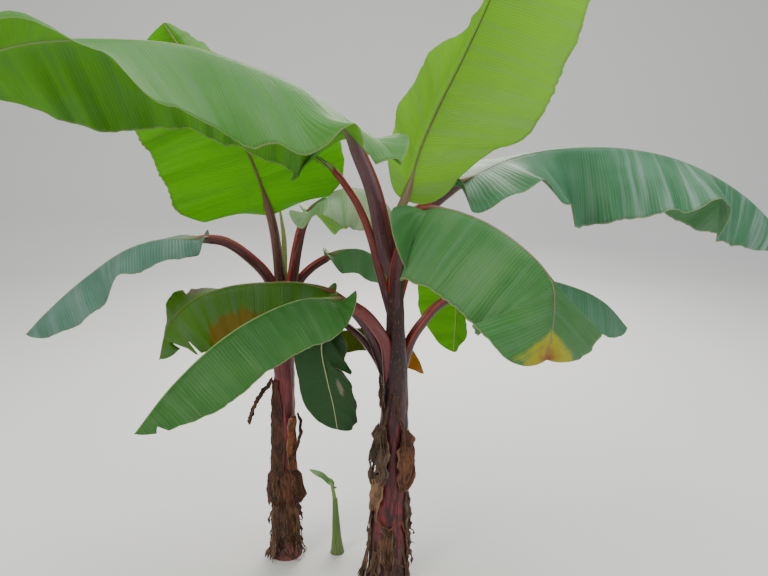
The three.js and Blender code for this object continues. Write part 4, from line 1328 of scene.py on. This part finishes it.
LEAVES = (
    Leaf(
        "main_leaf_long_left", MAIN, Slot.LEAF, 1, petiole=2.3, petiole_width=44, base=0.07, half=(285, 265),
        ripple=8.0,
        rib=((0, 0, 1085), (-35, -25, 1260), (-75, -50, 1370), (-125, -80, 1480), (-210, -120, 1550),
            (-330, -180, 1605), (-500, -265, 1660), (-685, -350, 1670), (-855, -425, 1650),
            (-1010, -490, 1575)),
        left=((0, 0, 12), (0.07, 6, 20), (0.14, 22, 36), (0.22, 26, 38), (0.32, 40, 56), (0.5, 52, 66),
            (0.65, 36, 50), (0.76, 8, 28), (0.86, -65, 40), (1, 0, 20)),
        right=((0, 0, 10), (0.07, 20, 35), (0.2, 40, 55), (0.6, 42, 56), (0.8, 60, 74), (1, 40, 54)),
        sweep=((0, -0.25), (0.1, -0.35), (0.2, -0.45), (0.45, -0.4), (0.7, -0.3), (1, 0)),
        finish=LeafFinish("#549640", "#80B466", "#B4D4B4", "#4E8A1A", "#A8D420", 0.46, 0.12),
        rib_finish=RibFinish("#4A2A2C", "#664044", keel="#8E9A5E"),
        curls=((1, 0.27, 0.04, -42, 0.35), (-1, 0.03, 0.05, 40, 0.0)),
    ),
    Leaf(
        "main_leaf_upright", MAIN, Slot.YOUNG, 2, petiole=1.7, petiole_width=34, base=0.3, half=(195, 295),
        ripple=5.0, facing=90,
        rib=((20, 5, 1070), (25, 5, 1180), (60, 15, 1270), (95, 40, 1385), (145, 70, 1500), (225, 118, 1655),
            (310, 172, 1835), (390, 232, 2045), (465, 292, 2270)),
        left=((0, -20, -10), (0.1, -58, -50), (0.25, -70, -64), (0.4, -92, -86), (0.7, -98, -92),
            (1, -80, -70)),
        right=((0, 0, 10), (0.4, 0, 10), (1, 0, 10)), sweep=((0, 0.6), (0.25, 0.3), (0.5, 0.15), (1, 0.25)),
        finish=LeafFinish("#7DB440", "#A4CC60", "#C6E09A", "#7FB23A", "#BCE648", 0.55, 0.4),
        rib_finish=RibFinish("#7A6A58", "#8E7E62", channel="#9A8A6A", rim="#A0705E", blade="#7E7444",
            keel="#8A7A3E"),
    ),
    Leaf(
        "main_leaf_long_right", MAIN, Slot.LEAF, 3, petiole=2.7, petiole_width=40, base=0.14, half=(265, 265),
        ripple=8.0,
        rib=((20, 10, 1050), (40, 25, 1170), (125, 65, 1225), (225, 110, 1290), (380, 160, 1360),
            (560, 205, 1390), (775, 245, 1385), (985, 275, 1335), (1190, 295, 1225), (1370, 300, 1060)),
        left=((0, 5, 15), (0.15, 5, 15), (0.3, 20, 34), (0.42, 45, 58), (0.6, 32, 46), (0.8, 45, 58),
            (1, 35, 50)),
        right=((0, 4, 14), (0.05, 4, 14), (0.13, 0, 4), (0.22, 22, 36), (0.32, 66, 80), (0.42, 46, 60),
            (0.55, 26, 40), (0.66, 8, 20), (0.74, 42, 56), (1, 46, 60)),
        sweep=((0, -0.5), (0.14, 0), (1, 0.1)),
        finish=LeafFinish("#437F55", "#72A482", "#C8DCD4", "#4E8450", "#7FB03A", 0.26, 0.5, 0.4),
        rib_finish=RibFinish(blade="#8FA88A"),
    ),
    Leaf(
        "main_leaf_front", MAIN, Slot.LEAF, 4, petiole=2.5, petiole_width=34, base=0.1, half=(250, 240),
        ripple=7.0,
        rib=((15, 0, 920), (25, -20, 1060), (70, -75, 1180), (130, -130, 1240), (245, -225, 1220),
            (345, -305, 1160), (410, -350, 1090), (425, -362, 1010), (412, -362, 870)),
        left=((0, 40, 55), (0.4, 50, 62), (0.6, 35, 45), (0.74, -18, -9), (1, -30, -20)),
        right=((0, 45, 60), (0.3, 60, 74), (0.6, 60, 70), (1, 15, 25)),
        sweep=((0, -0.2), (0.3, -0.1), (0.7, 0.2), (1, 0.5)),
        left_sweep=((0, -0.2), (0.3, -0.1), (0.55, 0.1), (0.7, 0.75), (1, 0.6)),
        finish=LeafFinish("#417F3E", "#6E9F5C", "#9CBEA2", "#4E8450", "#8FC03A", 0.3, 0.16, age="#C2BE14",
            dead="#8A4A2E", aged=(1.0, 0.25, 0.22, 2.4), died=(1.03, 0.0, 0.1, 0.9), softness=0.75, scorch=0.8),
        rib_finish=RibFinish(blade="#8A7A5E"), curls=((1, 0.0, 0.1, 45, 0.0), (-1, 0.0, 0.1, 45, 0.0)),
    ),
    Leaf(
        "main_leaf_low_right", MAIN, Slot.LEAF, 5, petiole=4.2, petiole_width=30, base=0.15, half=(110, 150),
        ripple=6.0,
        rib=((25, 10, 660), (50, 20, 755), (70, 30, 810), (105, 40, 860), (160, 60, 915), (290, 100, 975),
            (450, 135, 985), (605, 160, 945), (710, 170, 890), (790, 175, 805)),
        left=((0, 10, 20), (0.3, 15, 25), (1, 20, 30)), right=((0, 20, 30), (0.3, 55, 70), (1, 30, 45)),
        sweep=((0, -0.2), (0.5, 0), (1, 0.5)),
        finish=LeafFinish("#4F8660", "#7AA68A", "#9CBAA8", "#4E7A44", "#7FA83A", 0.25),
    ),
    Leaf(
        "main_leaf_back", MAIN, Slot.YOUNG, 6, petiole=2.5, petiole_width=28, base=0.15, half=(150, 95),
        ripple=6.0,
        rib=((20, 15, 860), (40, 45, 960), (75, 110, 1035), (135, 185, 1070), (195, 245, 1020), (235, 270, 890),
            (230, 270, 690)),
        left=((0, 10, 20), (0.5, 15, 25), (1, 10, 20)), right=((0, 20, 30), (0.5, 25, 35), (1, 10, 20)),
        sweep=((0, -0.2), (0.3, 0), (1, 0.2)),
        finish=LeafFinish("#5E9A14", "#8CC02E", "#B8DC5A", "#5C9610", "#98D408", 0.6),
        rib_finish=RibFinish(blade="#9AA84A"), tears=((-1, 0.34, 0.8, 0.012),),
    ),
    Leaf(
        "main_leaf_front_left", MAIN, Slot.LEAF, 8, petiole=3.6, petiole_width=32, base=0.18, half=(152, 140),
        ripple=7.0,
        rib=((5, 0, 690), (-5, -25, 805), (-40, -70, 885), (-85, -115, 945), (-150, -160, 985),
            (-240, -225, 1000), (-345, -310, 975), (-445, -385, 920), (-545, -450, 830), (-625, -505, 730)),
        left=((0, 30, 40), (0.2, 50, 62), (0.6, 50, 62), (1, 30, 42)),
        right=((0, 40, 50), (0.2, 60, 72), (0.6, 64, 76), (1, 40, 52)), sweep=((0, 0), (1, 0.1)),
        finish=LeafFinish("#35702C", "#5F9448", "#86AC80", "#5A8E48", "#7FB43A", 0.3, 0.22),
        rib_finish=RibFinish("#6A2428", "#7A2E2C", blade="#7FA25E", keel="#86A664"),
        tears=((-1, 0.3, 0.5, 0.014), (-1, 0.52, 0.6, 0.01), (1, 0.93, 0.4, 0.014)),
    ),
    Leaf(
        "main_leaf_yellowing", MAIN, Slot.AGEING, 9, petiole=4.0, petiole_width=30, base=0.15, half=(175, 110),
        ripple=11.0,
        rib=((5, 5, 680), (-20, 10, 760), (-55, 10, 845), (-100, 10, 905), (-160, 10, 955), (-245, 0, 995),
            (-370, -10, 1000), (-490, -10, 985), (-600, -5, 940), (-675, 0, 855), (-705, -5, 755)),
        left=((0, 20, 34), (0.2, 60, 74), (0.6, 65, 79), (1, 40, 54)),
        right=((0, 20, 34), (0.2, 45, 60), (0.6, 50, 64), (1, 35, 50)), sweep=((0, -0.2), (0.3, 0), (1, 0.1)),
        finish=LeafFinish("#3C6A18", "#5E8A2A", "#7A9A8A", "#4C7C4E", "#A4C81E", 0.4, 0.3, age="#826A10",
            dead="#867464", aged=(0.47, 1.0, 0.34, 0.8), died=(0.66, -0.8, 0.05, 0.3), softness=0.5,
            scorch=0.3),
        rib_finish=RibFinish("#3A181C", "#4E2022", blade="#6E7234", keel="#7E8240"),
        tears=((1, 0.8, 0.5, 0.012), (1, 0.9, 0.6, 0.014), (-1, 0.7, 0.4, 0.012)),
        curls=((1, 0.93, 0.07, 70, 0.3), (-1, 0.76, 0.22, -88, -1.0)),
    ),
    Leaf(
        "main_leaf_hanging", MAIN, Slot.LEAF, 10, petiole=3.6, petiole_width=24, base=0.35, half=(100, 165),
        ripple=7.0, facing=270,
        rib=((5, 10, 645), (-30, 25, 735), (-85, 45, 810), (-150, 60, 855), (-190, 70, 835), (-205, 70, 765),
            (-190, 60, 670), (-172, 60, 580), (-160, 55, 498)),
        left=((0, 15, 25), (0.5, 15, 30), (1, 10, 20)), right=((0, 15, 25), (0.5, 15, 30), (1, 10, 20)),
        sweep=((0, 0.3), (0.5, 0.2), (1, 0.2)),
        # The very dark greens are partly the leaf's own colour and partly painted shade.
        finish=LeafFinish("#1F4424", "#315A30", "#54765A", "#33562C", "#5E8A2A", 0.22, 0.2, dead="#8A8470",
            died=(0.55, -0.35, 0.08, 0.13)),
        rib_finish=RibFinish(blade="#587650"), tears=((-1, 0.35, 0.75, 0.006),),
        curls=((-1, 0.75, 0.2, 35, 0.4),),
    ),
    Leaf(
        "main_leaf_narrow", MAIN, Slot.YOUNG, 11, petiole=5.0, petiole_width=22, base=0.2, half=(26, 26),
        ripple=2.0,
        rib=((8, 4, 920), (-22, 0, 1032), (-46, -6, 1130), (-80, -5, 1220), (-125, 15, 1290), (-155, 32, 1325),
            (-185, 48, 1350), (-215, 60, 1368), (-240, 68, 1378)),
        left=((0, 20, 30), (1, 10, 20)), right=((0, 20, 30), (1, 10, 20)), sweep=((0, 0), (1, 0.1)),
        finish=LeafFinish("#7FB03A", "#A2C458", glow="#C0E44A", glow_share=0.5),
        rib_finish=RibFinish("#3E161C", "#8A362C", channel="#B8503C", keel="#6A3A34"),
    ),
    Leaf(
        "second_leaf_upright", SECOND, Slot.YOUNG, 12, petiole=3.2, petiole_width=36, base=0.2, half=(270, 275),
        ripple=11.0, facing=270,
        rib=((10, 0, 880), (5, -5, 985), (0, -15, 1075), (-10, -25, 1160), (-40, -40, 1290), (-95, -50, 1430),
            (-165, -55, 1560), (-240, -60, 1655), (-300, -60, 1745)),
        left=((0, 5, 10), (0.25, -8, -14), (0.42, -58, -66), (0.7, -84, -92), (1, -84, -92)),
        right=((0, 5, 10), (0.5, 0, 0), (1, -5, -10)), sweep=((0, -0.1), (0.3, 0.08), (1, 0.2)),
        finish=LeafFinish("#5F9A2A", "#86B83A", "#A2CE4A", "#4E8A0C", "#98D80E", 0.62),
        rib_finish=RibFinish("#4E2A28", "#6A4238", keel="#7E6A3A", fade_from=1.35, bloom_and_sheen="#D8C8C0"),
    ),
    Leaf(
        "second_leaf_arching", SECOND, Slot.LEAF, 13, petiole=3.2, petiole_width=32, base=0.12, half=(150, 150),
        ripple=8.0,
        rib=((22, -4, 880), (44, -8, 1000), (60, -5, 1085), (85, -10, 1165), (140, -15, 1230), (215, -15, 1265),
            (295, -15, 1255), (355, -10, 1205), (390, -5, 1115)),
        left=((0, 45, 60), (0.3, 55, 70), (1, 40, 50)),
        right=((0, 0, 0), (0.15, 5, 5), (0.35, 40, 55), (1, 35, 50)), sweep=((0, -0.5), (0.2, -0.1), (1, 0.1)),
        # The pale greens are partly the leaf's own colour and partly painted light, for sun on this face.
        finish=LeafFinish("#B4D6A2", "#CCE2BE", "#E8F2E4", "#6A9A3A", "#B4E23A", 0.4, 0.5),
        rib_finish=RibFinish("#4A2024", "#6A302C", bloom_and_sheen="#D0C0BC"),
    ),
    Leaf(
        "second_leaf_low_right", SECOND, Slot.LEAF, 14, petiole=3.0, petiole_width=28, base=0.15, half=(90, 90),
        ripple=7.0,
        rib=((18, 12, 860), (54, 14, 955), (95, 15, 1005), (150, 22, 1040), (215, 30, 1065), (275, 40, 1060),
            (335, 48, 1015), (375, 52, 945)),
        left=((0, 35, 47), (0.5, 50, 62), (1, 30, 42)), right=((0, 35, 47), (0.5, 55, 67), (1, 30, 42)),
        sweep=((0, -0.2), (0.3, 0), (1, 0.2)),
        finish=LeafFinish("#6AA472", "#8EBC92", "#BCD6BC", "#5A8A48", "#94C440", 0.35),
    ),
    Leaf(
        "second_leaf_left", SECOND, Slot.LEAF, 15, petiole=3.6, petiole_width=32, base=0.32, half=(150, 140),
        ripple=7.0,
        rib=((0, -8, 880), (-20, -8, 975), (-80, -20, 1050), (-155, -35, 1105), (-240, -45, 1115),
            (-350, -60, 1115), (-465, -75, 1080), (-595, -95, 990), (-700, -105, 900), (-775, -110, 825)),
        left=((0, 5, 15), (0.15, 12, 22), (0.3, 20, 32), (0.42, 12, 24), (0.6, 34, 46), (1, 30, 40)),
        right=((0, 0, 8), (0.5, 10, 20), (1, 25, 35)), sweep=((0, -0.2), (0.3, 0), (1, 0.1)),
        finish=LeafFinish("#4C7A66", "#7A9E90", "#B4C6C4", "#4E7A50", "#84AE4A", 0.26, 0.24),
        curls=((1, 0.04, 0.05, 60, 0.3),),
    ),
    Leaf(
        "second_leaf_low_back", SECOND, Slot.AGEING, 16, petiole=2.4, petiole_width=26, base=0.15,
        half=(75, 80), ripple=6.0,
        rib=((5, 5, 780), (50, 20, 845), (110, 25, 840), (175, 25, 795), (260, 25, 805), (340, 15, 800),
            (405, 5, 770), (450, -5, 710), (470, -10, 660)),
        left=((0, 35, 45), (0.5, 40, 50), (1, 20, 30)), right=((0, 45, 55), (0.5, 55, 65), (1, 20, 30)),
        sweep=((0, -0.2), (0.3, 0), (1, 0.2)),
        finish=LeafFinish("#5E7420", "#7A8A2E", "#98A250", "#6A7A26", "#A8B428", 0.42, age="#C8801A",
            ageing=0.8, ageing_from=0.45, aged=(1.0, 0.0, 0.3, 1.8)),
    ),
    Leaf(
        "pup_leaf", PUP, Slot.PUP, 17, petiole=1.5, petiole_width=13, base=0.3, half=(34, 34), ripple=1.5,
        rib=((-4, 0, 150), (-6, 0, 215), (-18, -4, 265), (-46, -10, 305), (-88, -18, 322)),
        left=((0, 10, 20), (1, 10, 20)), right=((0, 10, 20), (1, 10, 20)), sweep=((0, 0), (1, 0.2)),
        finish=LeafFinish("#4F8A30", "#7AAC50", glow="#A4D23A", glow_share=0.4),
        rib_finish=RibFinish("#6A8A3E", "#7A9A48", rim="#96AA62", channel="#7A9A48", keel="#A4B878",
            bloom_and_sheen="#B8C890"),
    ),
)

DRY_PARTS = (
    DryPart(
        "main_dry_sheath_left", MAIN, 3.5, 41,
        line=((550, 222, 16, 1, 2), (505, 220, 34, 9, 12), (445, 218, 42, 24, 15), (385, 220, 38, 14, 18),
            (330, 226, 18, 2, 5)),
        finish=DryFinish("#6A5546", "#33281F", "#A08C78"), crinkle=2.6, fray=12.0, curl=7.0, broaden=1.25,
        holes=((0.62, -0.25, 0.07, 0.3), (0.7, 0.2, 0.03, 0.14)),
    ),
    DryPart(
        "main_dry_sheath_right", MAIN, 3.5, 42,
        line=((530, 318, 15, 1, 2), (485, 322, 34, 8, 12), (430, 322, 42, 20, 13), (375, 318, 36, 12, 18),
            (335, 312, 16, 2, 5)),
        finish=DryFinish("#7A4C36", "#3E281E", "#B08C6C", warm="#9A5A34", warmth=0.5), crinkle=2.2, fray=12.0,
        curl=6.0, broaden=1.2,
    ),
    DryPart(
        "main_dry_strip_long", MAIN, 5, 43,
        line=((425, 183, 9, 3, 3), (370, 184, 14, 9, 8), (300, 188, 11, 4, 5), (210, 190, 10, 3, 4),
            (130, 190, 12, 5, 6), (60, 193, 20, 9, 14), (14, 196, 26, 18, 24)),
        finish=DryFinish("#86694F", "#463528"), fray=30.0,
    ),
    DryPart(
        "main_dry_strip_right", MAIN, 4, 44,
        line=((320, 330, 10, 2, 3), (250, 334, 15, 5, 7), (170, 332, 12, 3, 6), (95, 336, 6, 2, 3)), fray=18.0,
    ),
    DryPart(
        "main_dry_flap", MAIN, 4, 45, line=((720, 214, 5, 15, 15), (680, 215, 10, 7, 8), (610, 218, 12, 1, 2)),
        finish=DryFinish("#6E4A36", "#33241C"),
    ),
    DryPart(
        "second_petiole_stub", SECOND, 11, 46,
        line=((532, 300, 8, 36, 35), (520, 302, 14, 20, 18), (470, 305, 17, 7, 6), (400, 306, 18, 2, 3),
            (335, 304, 14, 1, 1)),
        finish=DryFinish("#8E5230", "#4A2A1A", warm="#B86A30", warmth=0.6), crinkle=1.4, curl=1.0, paper=8.0,
    ),
    DryPart(
        "second_dry_collar_left", SECOND, 3.5, 47,
        line=((325, 225, 16, 1, 2), (290, 224, 36, 9, 12), (240, 226, 38, 12, 20), (205, 228, 18, 6, 10)),
        finish=DryFinish("#5E4638", "#30241C", "#8E7460"), crinkle=2.4, fray=12.0, curl=6.0,
    ),
    DryPart(
        "second_dry_collar_right", SECOND, 3.5, 48,
        line=((318, 330, 16, 1, 2), (280, 330, 34, 8, 12), (235, 326, 36, 10, 20), (205, 322, 14, 6, 10)),
        finish=DryFinish("#6E4636", "#34221A", "#9A7860"), crinkle=2.4, fray=12.0, curl=6.0,
    ),
    DryPart(
        "second_dry_strip_left", SECOND, 3.5, 49,
        line=((198, 232, 9, 2, 3), (150, 228, 14, 6, 9), (95, 230, 12, 3, 7), (45, 226, 18, 8, 14),
            (12, 224, 24, 14, 22)),
        finish=DryFinish("#8E735A", "#4E3A2C"), fray=22.0,
    ),
    DryPart(
        "second_dry_strip_right", SECOND, 3.5, 50,
        line=((198, 310, 9, 2, 3), (150, 314, 13, 6, 8), (90, 316, 10, 3, 6), (30, 322, 16, 10, 16)),
        finish=DryFinish("#8E735A", "#4E3A2C"), fray=20.0,
    ),
    DryPart(
        "second_dry_leaf", SECOND, 4, 51,
        line=((640, 186, 7, 1, 1), (615, 185, 9, 12, 12), (590, 184, 12, 34, 33), (555, 183, 15, 56, 54),
            (515, 183, 13, 70, 68), (490, 183, 5, 74, 74)),
        finish=DryFinish("#4E3A2E", "#2A1F1A", "#80664C"), crinkle=5.0, fray=12.0, broaden=1.9,
    ),
    DryPart(
        "main_dry_sheath_left", MAIN, 1.0, 52,
        line=((650, 252, 3, 1, 1), (590, 244, 4, 2, 2), (530, 232, 5, 8, 8), (470, 246, 5, 24, 24)),
        finish=DryFinish("#7A5A46", "#3E2C22"), title="edge", columns=12,
    ),
    DryPart(
        "main_dry_sheath_right", MAIN, 1.0, 53,
        line=((660, 268, 3, 1, 1), (600, 282, 4, 2, 2), (535, 304, 5, 6, 6), (470, 296, 5, 20, 20)),
        finish=DryFinish("#8A5A40", "#4A2C20"), title="edge", columns=12,
    ),
    DryPart(
        "main_dry_strip_long", MAIN, 1.0, 54,
        line=((392, 232, 14, 4, 4), (360, 226, 26, 12, 10), (318, 222, 30, 14, 16), (270, 218, 20, 8, 10)),
        # The pale tan is partly the dead sheath's own colour and partly painted light on this panel.
        finish=DryFinish("#B08C6A", "#76583E", warm="#C09468", warmth=0.5), title="panel", fray=16.0, curl=6.0,
    ),
    DryPart(
        "main_dry_strip_right", MAIN, 1.0, 55,
        line=((210, 268, 10, 3, 3), (170, 262, 20, 9, 12), (120, 264, 22, 8, 14), (70, 270, 14, 5, 9)),
        finish=DryFinish("#7E5640", "#402A20"), title="curl", fray=16.0, curl=8.0,
    ),
    DryPart(
        "second_dry_strip_left", SECOND, 1.0, 56,
        line=((215, 262, 16, 4, 4), (170, 258, 26, 12, 14), (110, 262, 24, 10, 14), (60, 258, 16, 8, 12)),
        finish=DryFinish("#664A3A", "#34261E", "#947A64"), title="panel", fray=20.0, curl=7.0,
    ),
    DryPart(
        "second_dry_collar_left", SECOND, 1.0, 57,
        line=((640, 226, 16, 1, 1), (520, 230, 30, 2, 3), (400, 232, 34, 2, 4), (318, 232, 34, 3, 6)),
        finish=DryFinish("#5A382C", "#2E1E1A", "#84624E"), title="dark_side", crinkle=1.2, curl=3.0,
    ),
    DryPart(
        "second_petiole_stub", SECOND, 1.0, 58,
        line=((538, 316, 4, 30, 30), (512, 320, 6, 37, 37), (465, 323, 8, 33, 33), (420, 320, 7, 20, 20),
            (380, 316, 5, 8, 8)),
        finish=DryFinish("#5A3A2C", "#2A1A14", "#A07A62"), title="hook", crinkle=3.2, fray=4.0, curl=1.0,
        columns=16,
    ),
    DryPart(
        "second_dry_collar_right", SECOND, 1.0, 59,
        line=((336, 272, 20, 2, 3), (300, 270, 40, 10, 11), (255, 274, 44, 13, 16), (212, 276, 30, 8, 14)),
        finish=DryFinish("#6E4632", "#34221A", "#A07C60", warm="#94583A", warmth=0.5), title="front", fray=18.0,
        curl=5.0,
    ),
    DryPart(
        "second_dry_strip_right", SECOND, 1.0, 60,
        line=((225, 292, 12, 6, 8), (180, 296, 20, 14, 15), (120, 294, 18, 10, 14), (70, 298, 12, 6, 10)),
        finish=DryFinish("#7E583E", "#3E2A20", "#B08E70"), title="hanging", fray=20.0, curl=7.0,
    ),
)

SHREDS = (
    Shreds(
        "main_dry_strip_long", MAIN, 12, (60, 300), (150, 250), 71,
        DryFinish("#86694F", "#463528"),
    ),
    Shreds(
        "main_dry_strip_right", MAIN, 12, (50, 260), (250, 400), 72,
        DryFinish("#75543F", "#3C2C22"),
    ),
    Shreds(
        "second_dry_strip_left", SECOND, 11, (40, 210), (150, 270), 73,
        DryFinish("#6E5644", "#382A22", "#9A8068"),
    ),
    Shreds(
        "second_dry_strip_right", SECOND, 10, (40, 210), (270, 390), 74,
        DryFinish("#5E4436", "#30231C", "#8A6E58"),
    ),
)

SPEAR = Spear(
    "second_spear", SECOND,
    line=((17, 6, 975.3, 12), (20, 12, 1030, 11), (20, 18, 1100, 9), (14, 20, 1160, 6), (6, 20, 1215, 2)),
)


def dress(pieces: Iterable[bpy.types.Object], node: str, slot: Slot) -> None:
    """Makes pieces ride with the plant and stand for a node.

    Args:
        pieces: The pieces.
        node: The node that they stand for.
        slot: The material slot that they would take their finish from; it is not used.
    """
    for piece in pieces:
        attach(piece, "root")
        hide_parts(node)
        LOG.info("%s: %d faces", piece.name, len(piece.data.polygons))


def main() -> None:
    """Builds the plant piece by piece, and the studio round it."""
    logging.basicConfig(level=logging.INFO, format="%(message)s")
    for part in (MAIN, SECOND, PUP, *LEAVES, SPEAR, *DRY_PARTS, *SHREDS):
        dress(part.build(), part.node, part.slot)
    Studio().build()


if __name__ == "__main__":
    main()
